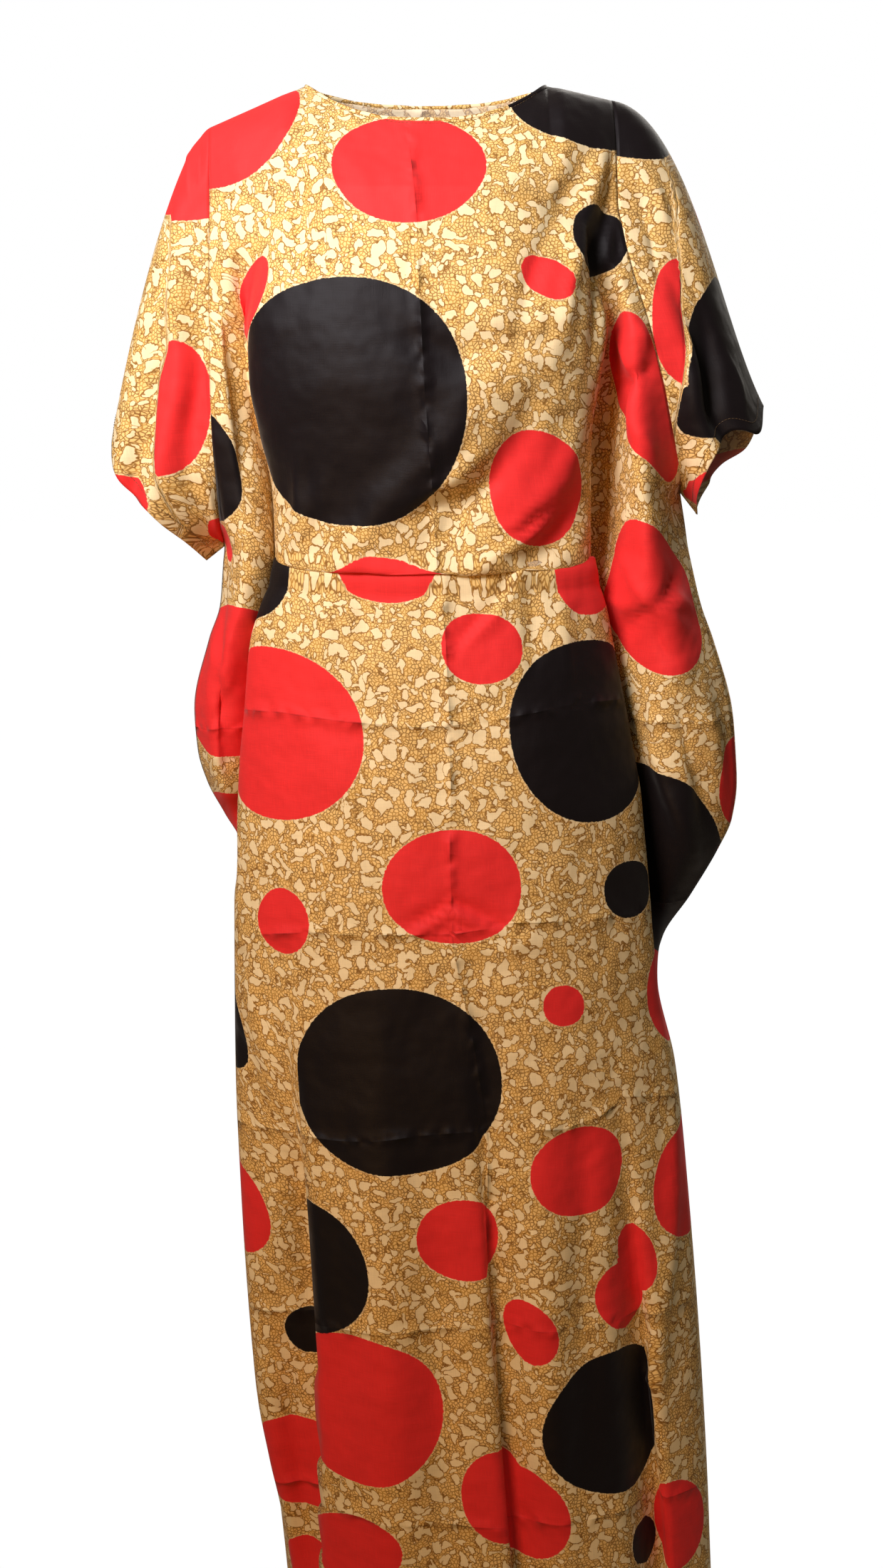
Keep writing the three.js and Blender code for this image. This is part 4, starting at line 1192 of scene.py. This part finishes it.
def tone_and_painted_shade(n, place, threads, line, seam):
    """A grey for how bright the cloth is: uneven dye, and painted shade darkening the pressed lines and the
    seams.
    """
    dye = n.noise(place, "dye")["Fac"]
    tone_and_shade = n.plus(n.plus(n.times(threads, TONE_AND_SHADE["threads"]), n.times(dye, TONE_AND_SHADE["dye"])), TONE_AND_SHADE["least"])
    # painted shade: darker along the pressed lines, where the wear lets them show, and in a thin line at the
    # seams
    for share, strength in ((line, TONE_AND_SHADE["line"]), (n.band(seam, SEAM_SHADE_EDGE), TONE_AND_SHADE["seam"])):
        tone_and_shade = n.times(tone_and_shade, n.minus(1.0, n.times(share, strength)))
    return n.add("ShaderNodeCombineColor", Red=tone_and_shade, Green=tone_and_shade, Blue=tone_and_shade).outputs[0]


def cloth_relief(n, place, threads, fold, seam, crumple):
    """The weave, and over it the pressed ridges, the sunken seams and a faint all-over crumple."""
    warp, weft = (
        n.add("ShaderNodeTexWave", {"bands_direction": way, "wave_profile": "SIN"},
              Vector=place, Scale=WEAVE["scale"]).outputs["Fac"]
        for way in ("X", "Y")
    )
    weave = n.plus(n.times(n.times(warp, weft), WEAVE["height"]), n.times(threads, WEAVE["threads"]))
    fine = n.add("ShaderNodeBump", Strength=WEAVE["strength"], Distance=WEAVE["distance"], Height=weave)
    sunk = n.times(n.band(seam, SEAM_SUNK["edge"]), SEAM_SUNK["depth"])
    crumpled = n.times(n.noise(place, "crumple")["Fac"], crumple)
    folds = n.plus(n.plus(n.times(fold, RIDGE["height"]), sunk), crumpled)
    return n.add("ShaderNodeBump", Strength=1.0, Distance=MM, Height=folds, Normal=fine.outputs[0]).outputs[0]


def cloth_material(name, print_, wrong_side=False):
    """Printed cotton, from the cut's UV map and the marks that the pieces carry."""
    material, n = empty_material(name)
    uv = n.add("ShaderNodeUVMap", {"uv_map": "cut"}).outputs["UV"]
    place = n.vector("MULTIPLY", uv, (1 / MM, 1 / MM, 0.0))
    red, black, press, seam = (
        n.add("ShaderNodeAttribute", {"attribute_name": mark}).outputs["Fac"]
        for mark in ("red_dots", "black_dots", "press", "seam")
    )
    off_line = n.math("ABSOLUTE", press)
    wear = n.times(n.minus(n.noise(place, "wear")["Fac"], WEAR["from"], clamp=True), WEAR["gain"], clamp=True)
    ridge = n.math("POWER", n.remap(off_line, 0.0, RIDGE["width"], 1.0, 0.0), RIDGE["power"])
    threads = slubs(n, place)

    printed, in_black = dotted(n, place, print_, red, black)
    # painted shade along the pressed lines and at the seams goes into this grey
    tone_and_shade = tone_and_painted_shade(n, place, threads, n.times(n.band(off_line, PRESS_SHADE_EDGE), wear), seam)
    printed = n.blend(1.0, printed, tone_and_shade, "MULTIPLY")
    if wrong_side:
        printed = n.blend(print_.wrong_side_fade, printed, opaque(WRONG_SIDE))

    surface = n.add(
        "ShaderNodeBsdfPrincipled",
        Base_Color=printed,
        Roughness=n.minus(FINISH["rough"], n.times(in_black, FINISH["black"])),
        Normal=cloth_relief(n, place, threads, n.times(ridge, wear), seam, print_.crumple),
    )
    for name, value in GLOSS.items():
        n.put(surface, name, value)
    n.add("ShaderNodeOutputMaterial", Surface=surface.outputs[0])
    return material


def thread_material():
    """Brown twisted sewing thread."""
    material, n = empty_material("sewing thread")
    place = n.add("ShaderNodeTexCoord").outputs["Object"]
    twist = n.add("ShaderNodeTexNoise", Vector=place, Scale=THREAD["twist"], Detail=2.0).outputs["Fac"]
    bump = n.add("ShaderNodeBump", Strength=THREAD["strength"], Distance=THREAD["distance"], Height=twist)
    brown = n.blend(twist, THREAD["dark"], THREAD["light"])
    surface = n.add(
        "ShaderNodeBsdfPrincipled", Base_Color=brown, Roughness=THREAD["rough"], Normal=bump.outputs[0]
    )
    n.add("ShaderNodeOutputMaterial", Surface=surface.outputs[0])
    return material


def shared_material(name, make):
    """The material of that name, made when it is first asked for."""
    return bpy.data.materials.get(name) or make()


def cloth_materials():
    """The printed face of the cloth and its wrong side."""
    print_ = bpy.context.scene.baati_print
    return [
        shared_material(name, lambda: cloth_material(name, print_, wrong))
        for name, wrong in (("printed cloth", False), ("wrong side of the cloth", True))
    ]


def seen_and_lit(n, seen, lit):
    """One shader as the camera sees it, and another for the light that it gives to the dress."""
    both = n.add("ShaderNodeMixShader")
    return n.with_inputs(both, (n.add("ShaderNodeLightPath").outputs["Is Camera Ray"], lit, seen)).outputs[0]


def floor_material(stage):
    """A pale floor that blends with the white surround where it is seen, and lights the dress a little."""
    material, n = empty_material("pale floor")
    dull = n.add("ShaderNodeBsdfDiffuse", Color=opaque([stage.floor_return * v for v in stage.floor]))
    glow = n.add("ShaderNodeEmission", Color=opaque(stage.floor), Strength=stage.floor_glow)
    n.add("ShaderNodeOutputMaterial", Surface=seen_and_lit(n, glow.outputs[0], dull.outputs[0]))
    return material


# ---- Settings ------------------------------------------------------------------------------------
def colour_property(label, description, default):
    return bpy.props.FloatVectorProperty(
        name=label, description=description, default=default, subtype="COLOR", size=3, min=0, max=1
    )


class BaatiCloth(bpy.types.PropertyGroup):
    """The cloth and its creases"""

    thickness: bpy.props.FloatProperty(
        name="Thickness", description="Thickness of the cloth", default=0.7 * MM, min=0.0001, unit="LENGTH"
    )
    creases: bpy.props.FloatProperty(
        name="Creases", description="How far the creases stand out", default=1.9, min=0.0
    )


class BaatiPrint(bpy.types.PropertyGroup):
    """The colours and sizes of the print"""

    cream: colour_property("Cream", "Colour of the pebbles", (0.86, 0.70, 0.41))
    bubble: colour_property("Bubble", "Colour inside the small bubbles", (0.86, 0.59, 0.22))
    deep_bubble: colour_property("Deep bubble", "Colour inside the darker bubbles", (0.68, 0.40, 0.085))
    ochre: colour_property("Ochre", "Colour of the net between the bubbles", (0.42, 0.19, 0.02))
    outline: colour_property("Outline", "Colour of the brown rims", (0.22, 0.09, 0.012))
    red: colour_property("Red", "Colour of the red dots", (0.79, 0.028, 0.029))
    black: colour_property("Black", "Colour of the black dots", (0.005, 0.003, 0.004))
    pebble_pitch: bpy.props.FloatProperty(
        name="Pebble pitch", description="Distance between pebbles, in millimetres", default=12.4, min=1.0
    )
    bubble_pitch: bpy.props.FloatProperty(
        name="Bubble pitch",
        description="Distance between the small bubbles, in millimetres",
        default=3.0,
        min=0.5,
    )
    crumple: bpy.props.FloatProperty(
        name="Crumple",
        description="Depth of the faint all-over crumple, in millimetres",
        default=4.2,
        min=0.0,
    )
    wrong_side_fade: bpy.props.FloatProperty(
        name="Wrong side fade",
        description="How pale the print is on the inside",
        default=0.35,
        subtype="FACTOR",
    )


class BaatiStage(bpy.types.PropertyGroup):
    """The floor and the lights"""

    key_power: bpy.props.FloatProperty(
        name="Key light", description="Power of the soft light in front", default=7.0, unit="POWER"
    )
    low_power: bpy.props.FloatProperty(
        name="Low light", description="Power of the warm light beside the skirt", default=3.4, unit="POWER"
    )
    back_power: bpy.props.FloatProperty(
        name="Back light", description="Power of the soft light behind", default=34.0, unit="POWER"
    )
    surround: bpy.props.FloatProperty(
        name="Surround",
        description="Strength of the even light from all round",
        default=0.16,
        subtype="FACTOR",
    )
    floor: colour_property("Floor", "Colour of the pale floor", (0.93, 0.93, 0.93))
    floor_return: bpy.props.FloatProperty(
        name="Floor return",
        description="Share of its colour with which the floor lights the dress",
        default=0.4,
        subtype="FACTOR",
    )
    floor_glow: bpy.props.FloatProperty(
        name="Floor brightness",
        description="How bright the floor looks beside the white surround",
        default=1.08,
    )


# ---- Operators -----------------------------------------------------------------------------------
def make_panel(face):
    """Makes the front or the back as one sheet of cloth."""
    points, cut, station = creased_panel(face)
    marks = marks_of(cut, PANEL_DOTS[face], PRESS_LINES[face], panel_seam(cut, station))
    obj = cloth_object(f"{face}_panel", points, cut, marks, cloth_materials())
    declare(obj, face)


class MakeFront(bpy.types.Operator):
    """Make the front panel, from the shoulders to the hem"""

    bl_idname = "baati.front"
    bl_label = "Front"

    def execute(self, context):
        make_panel("front")
        return {"FINISHED"}


class MakeBack(bpy.types.Operator):
    """Make the back panel, from the shoulders to the hem"""

    bl_idname = "baati.back"
    bl_label = "Back"

    def execute(self, context):
        make_panel("back")
        return {"FINISHED"}


class MakeSleeves(bpy.types.Operator):
    """Make the two sleeves, each from its armhole to its cuff"""

    bl_idname = "baati.sleeves"
    bl_label = "Sleeves"

    def execute(self, context):
        front, back = panel_grid("front")[0], panel_grid("back")[0]
        thread = shared_material("sewing thread", thread_material)
        for side, word in SIDE_WORDS.items():
            points, cut = sleeve_grid(front, back, side)
            cut, beyond = joined(cut, SLEEVE_JOINS[side])
            points = creased(points, cut, SLEEVE_CREASES[side], rows_fade(points, SLEEVE_CLEAR), ring=True)
            reach = sleeve_reach(points)
            marks = marks_of(cut, SLEEVE_DOTS[side], (), np.minimum(reach, np.abs(beyond)))
            obj = cloth_object(f"sleeve_{word}_cloth", points, cut, marks, cloth_materials(), ring=True)
            declare(obj, f"sleeve_{word}")
            line, normals = contour(points, reach[-1:] - reach, CUFF_HEM, ring=True)
            stitch_row(f"cuff_{word}_stitches", line, normals, thread)
        return {"FINISHED"}


def neck_ring(front, back):
    """Places along the neck edge and its whole length, with the points there and the ways down and out."""
    closed = np.concatenate([front, back[1:-1], front[:1]])
    total = np.linalg.norm(np.diff(closed[:, :3], axis=0), axis=1).sum()
    places = np.linspace(0, total, round(total / BINDING["step"]))[:-1]
    path = along_path(closed, places)
    centres, downs = path[:, :3], path[:, 3:]
    ahead = np.roll(centres, -1, axis=0) - np.roll(centres, 1, axis=0)
    ahead /= np.linalg.norm(ahead, axis=1, keepdims=True)
    downs = downs - ahead * np.sum(downs * ahead, axis=1, keepdims=True)
    downs /= np.linalg.norm(downs, axis=1, keepdims=True)
    return places, total, centres, downs, np.cross(downs, ahead)


def make_binding(front, back):
    """Rolls a narrow strip over the neck edge, a little uneven, as it is turned and sewn by hand."""
    places, total, centres, downs, outs = neck_ring(front, back)
    angle = np.linspace(0, 2 * math.pi, BINDING["corners"], endpoint=False)
    uneven = 1 + sum(size * np.sin(places / length + start) for size, length, start in BINDING_WAVES)
    uneven = uneven[:, None]
    squared = np.sign(np.cos(angle)) * np.abs(np.cos(angle)) ** BINDING["squareness"]
    down = squared * uneven * BINDING["height"] / 2 + BINDING["down"]
    out = np.sin(angle) * uneven * BINDING["thickness"] / 2
    points = centres[:, None] + downs[:, None] * down[..., None] + outs[:, None] * out[..., None]
    points = np.concatenate([points, points[:1]])
    over = NECK_PRINT + angle * BINDING["height"] / 2
    cut = np.stack(np.meshgrid(np.append(places, total), over, indexing="ij"), axis=2)
    marks = marks_of(cut, NECK_DOTS, (), np.full(cut.shape[:2], NO_SEAM))
    obj = cloth_object("neck_roll", points, cut, marks, cloth_materials()[:1], ring=True, thin=False)
    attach(obj, "root")
    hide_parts("neck_binding")


class MakeEdges(bpy.types.Operator):
    """Make the rolled neck binding and the stitches of the neck and the hem"""

    bl_idname = "baati.edges"
    bl_label = "Neck and hem"

    def execute(self, context):
        thread = shared_material("sewing thread", thread_material)
        rims = []
        for face in ("front", "back"):
            points, cut, station = creased_panel(face)
            line, normals = contour(points, points[..., 2] + LENGTH, HEM)
            stitch_row(f"hem_{face}_stitches", line, normals, thread)
            neck = station <= NECK_STATION
            fall = cut[:, neck, 1] - cut[:1, neck, 1]
            line, normals = contour(points[:, neck], NECK_STITCH - fall, 0)
            stitch_row(f"neck_{face}_stitches", line, normals, thread)
            down = points[1, neck] - points[0, neck]
            down /= np.linalg.norm(down, axis=1, keepdims=True)
            rims.append(np.concatenate([points[0, neck], down], axis=1))
        make_binding(*rims)
        return {"FINISHED"}


FLOOR = {"below": 40, "half": 30}  # how far below the hem in millimetres, and half its width in metres
LIGHTS = (  # name, setting with its power, size, place, aim, spread in degrees, colour
    ("key", "key_power", 0.6, (-0.6, -1.05, 0.46), (0.0, 0.0, -0.08), 84, (1.0, 0.96, 1.0)),
    ("low light", "low_power", 0.9, (-0.8, -1.7, -0.7), (0.0, 0.0, -0.8), 100, (1.0, 0.48, 0.09)),
    ("back light", "back_power", 1.4, (0.9, 1.9, 0.9), (0.0, 0.0, -0.5), 180, (1.0, 0.95, 0.88)),
)
SURROUND_SEEN = (1.0, 1.0, 1.0)
SURROUND_LIGHT = (1.0, 0.83, 0.62)
CAMERA = {"place": (0, -1.9, -0.3), "looks_down": 9, "lens": 49.4, "shift": 0.01}


def lay_floor(stage):
    """The floor under the hem, which belongs to the stage."""
    half, z = FLOOR["half"], -(LENGTH + FLOOR["below"]) * MM
    mesh = bpy.data.meshes.new("floor")
    corners = [(x * half, y * half, z) for x, y in ((-1, -1), (1, -1), (1, 1), (-1, 1))]
    mesh.from_pydata(corners, [], [(0, 1, 2, 3)])
    mesh.materials.append(floor_material(stage))
    floor = bpy.data.objects.new("floor", mesh)
    bpy.context.scene.collection.objects.link(floor)


def white_surround(stage):
    """A world that is seen as white and gives a weak warm light from all round."""
    world = bpy.data.worlds.new("white surround")
    world.use_nodes = True
    world.node_tree.nodes.clear()
    n = Nodes(world.node_tree)
    seen = n.add("ShaderNodeBackground", Color=opaque(SURROUND_SEEN), Strength=1.0)
    lit = n.add("ShaderNodeBackground", Color=opaque(SURROUND_LIGHT), Strength=stage.surround)
    n.add("ShaderNodeOutputWorld", Surface=seen_and_lit(n, seen.outputs[0], lit.outputs[0]))
    return world


def place_light(name, power, size, place, aim, spread, tint):
    """A square soft light that looks at its aim."""
    light = bpy.data.lights.new(name, "AREA")
    light.energy = power
    light.size = size
    light.color = tint
    light.spread = math.radians(spread)
    obj = bpy.data.objects.new(name, light)
    obj.location = place
    obj.rotation_euler = (Vector(aim) - Vector(place)).to_track_quat("-Z", "Y").to_euler()
    bpy.context.scene.collection.objects.link(obj)


def place_camera():
    """The camera in front of the dress, a little above its middle."""
    camera = bpy.data.cameras.new("camera")
    camera.lens = CAMERA["lens"]
    camera.shift_x = CAMERA["shift"]
    obj = bpy.data.objects.new("camera", camera)
    obj.location = CAMERA["place"]
    obj.rotation_euler = (math.radians(90 - CAMERA["looks_down"]), 0, 0)
    bpy.context.scene.collection.objects.link(obj)
    return obj


class MakeStage(bpy.types.Operator):
    """Make the floor, the lights and the camera"""

    bl_idname = "baati.stage"
    bl_label = "Stage"

    def execute(self, context):
        scene = context.scene
        stage = scene.baati_stage
        scene.view_settings.view_transform = "Standard"
        lay_floor(stage)
        scene.world = white_surround(stage)
        for name, setting, *rest in LIGHTS:
            place_light(name, getattr(stage, setting), *rest)
        scene.camera = place_camera()
        return {"FINISHED"}


class BaatiPanel(bpy.types.Panel):
    """Lists the pieces of the dress and its settings"""

    bl_idname = "BAATI_PT_pieces"
    bl_label = "Baati Dress"
    bl_space_type = "VIEW_3D"
    bl_region_type = "UI"
    bl_category = "Baati"

    def draw(self, context):
        for operator in OPERATORS:
            self.layout.operator(operator.bl_idname)
        for name in GROUPS:
            settings = getattr(context.scene, name)
            box = self.layout.box()
            for key in settings.bl_rna.properties.keys():
                if key not in ("rna_type", "name"):
                    box.prop(settings, key)


GROUPS = {"baati_cloth": BaatiCloth, "baati_print": BaatiPrint, "baati_stage": BaatiStage}
OPERATORS = (MakeFront, MakeBack, MakeSleeves, MakeEdges, MakeStage)


def register():
    for cls in (*GROUPS.values(), *OPERATORS, BaatiPanel):
        bpy.utils.register_class(cls)
    for name, group in GROUPS.items():
        setattr(bpy.types.Scene, name, bpy.props.PointerProperty(type=group))


def unregister():
    for name in GROUPS:
        delattr(bpy.types.Scene, name)
    for cls in (BaatiPanel, *reversed(OPERATORS), *reversed(GROUPS.values())):
        bpy.utils.unregister_class(cls)


def main():
    """Makes every piece and the stage in order."""
    register()
    for operator in OPERATORS:
        group, name = operator.bl_idname.split(".")
        getattr(getattr(bpy.ops, group), name)()


if __name__ == "__main__":
    main()
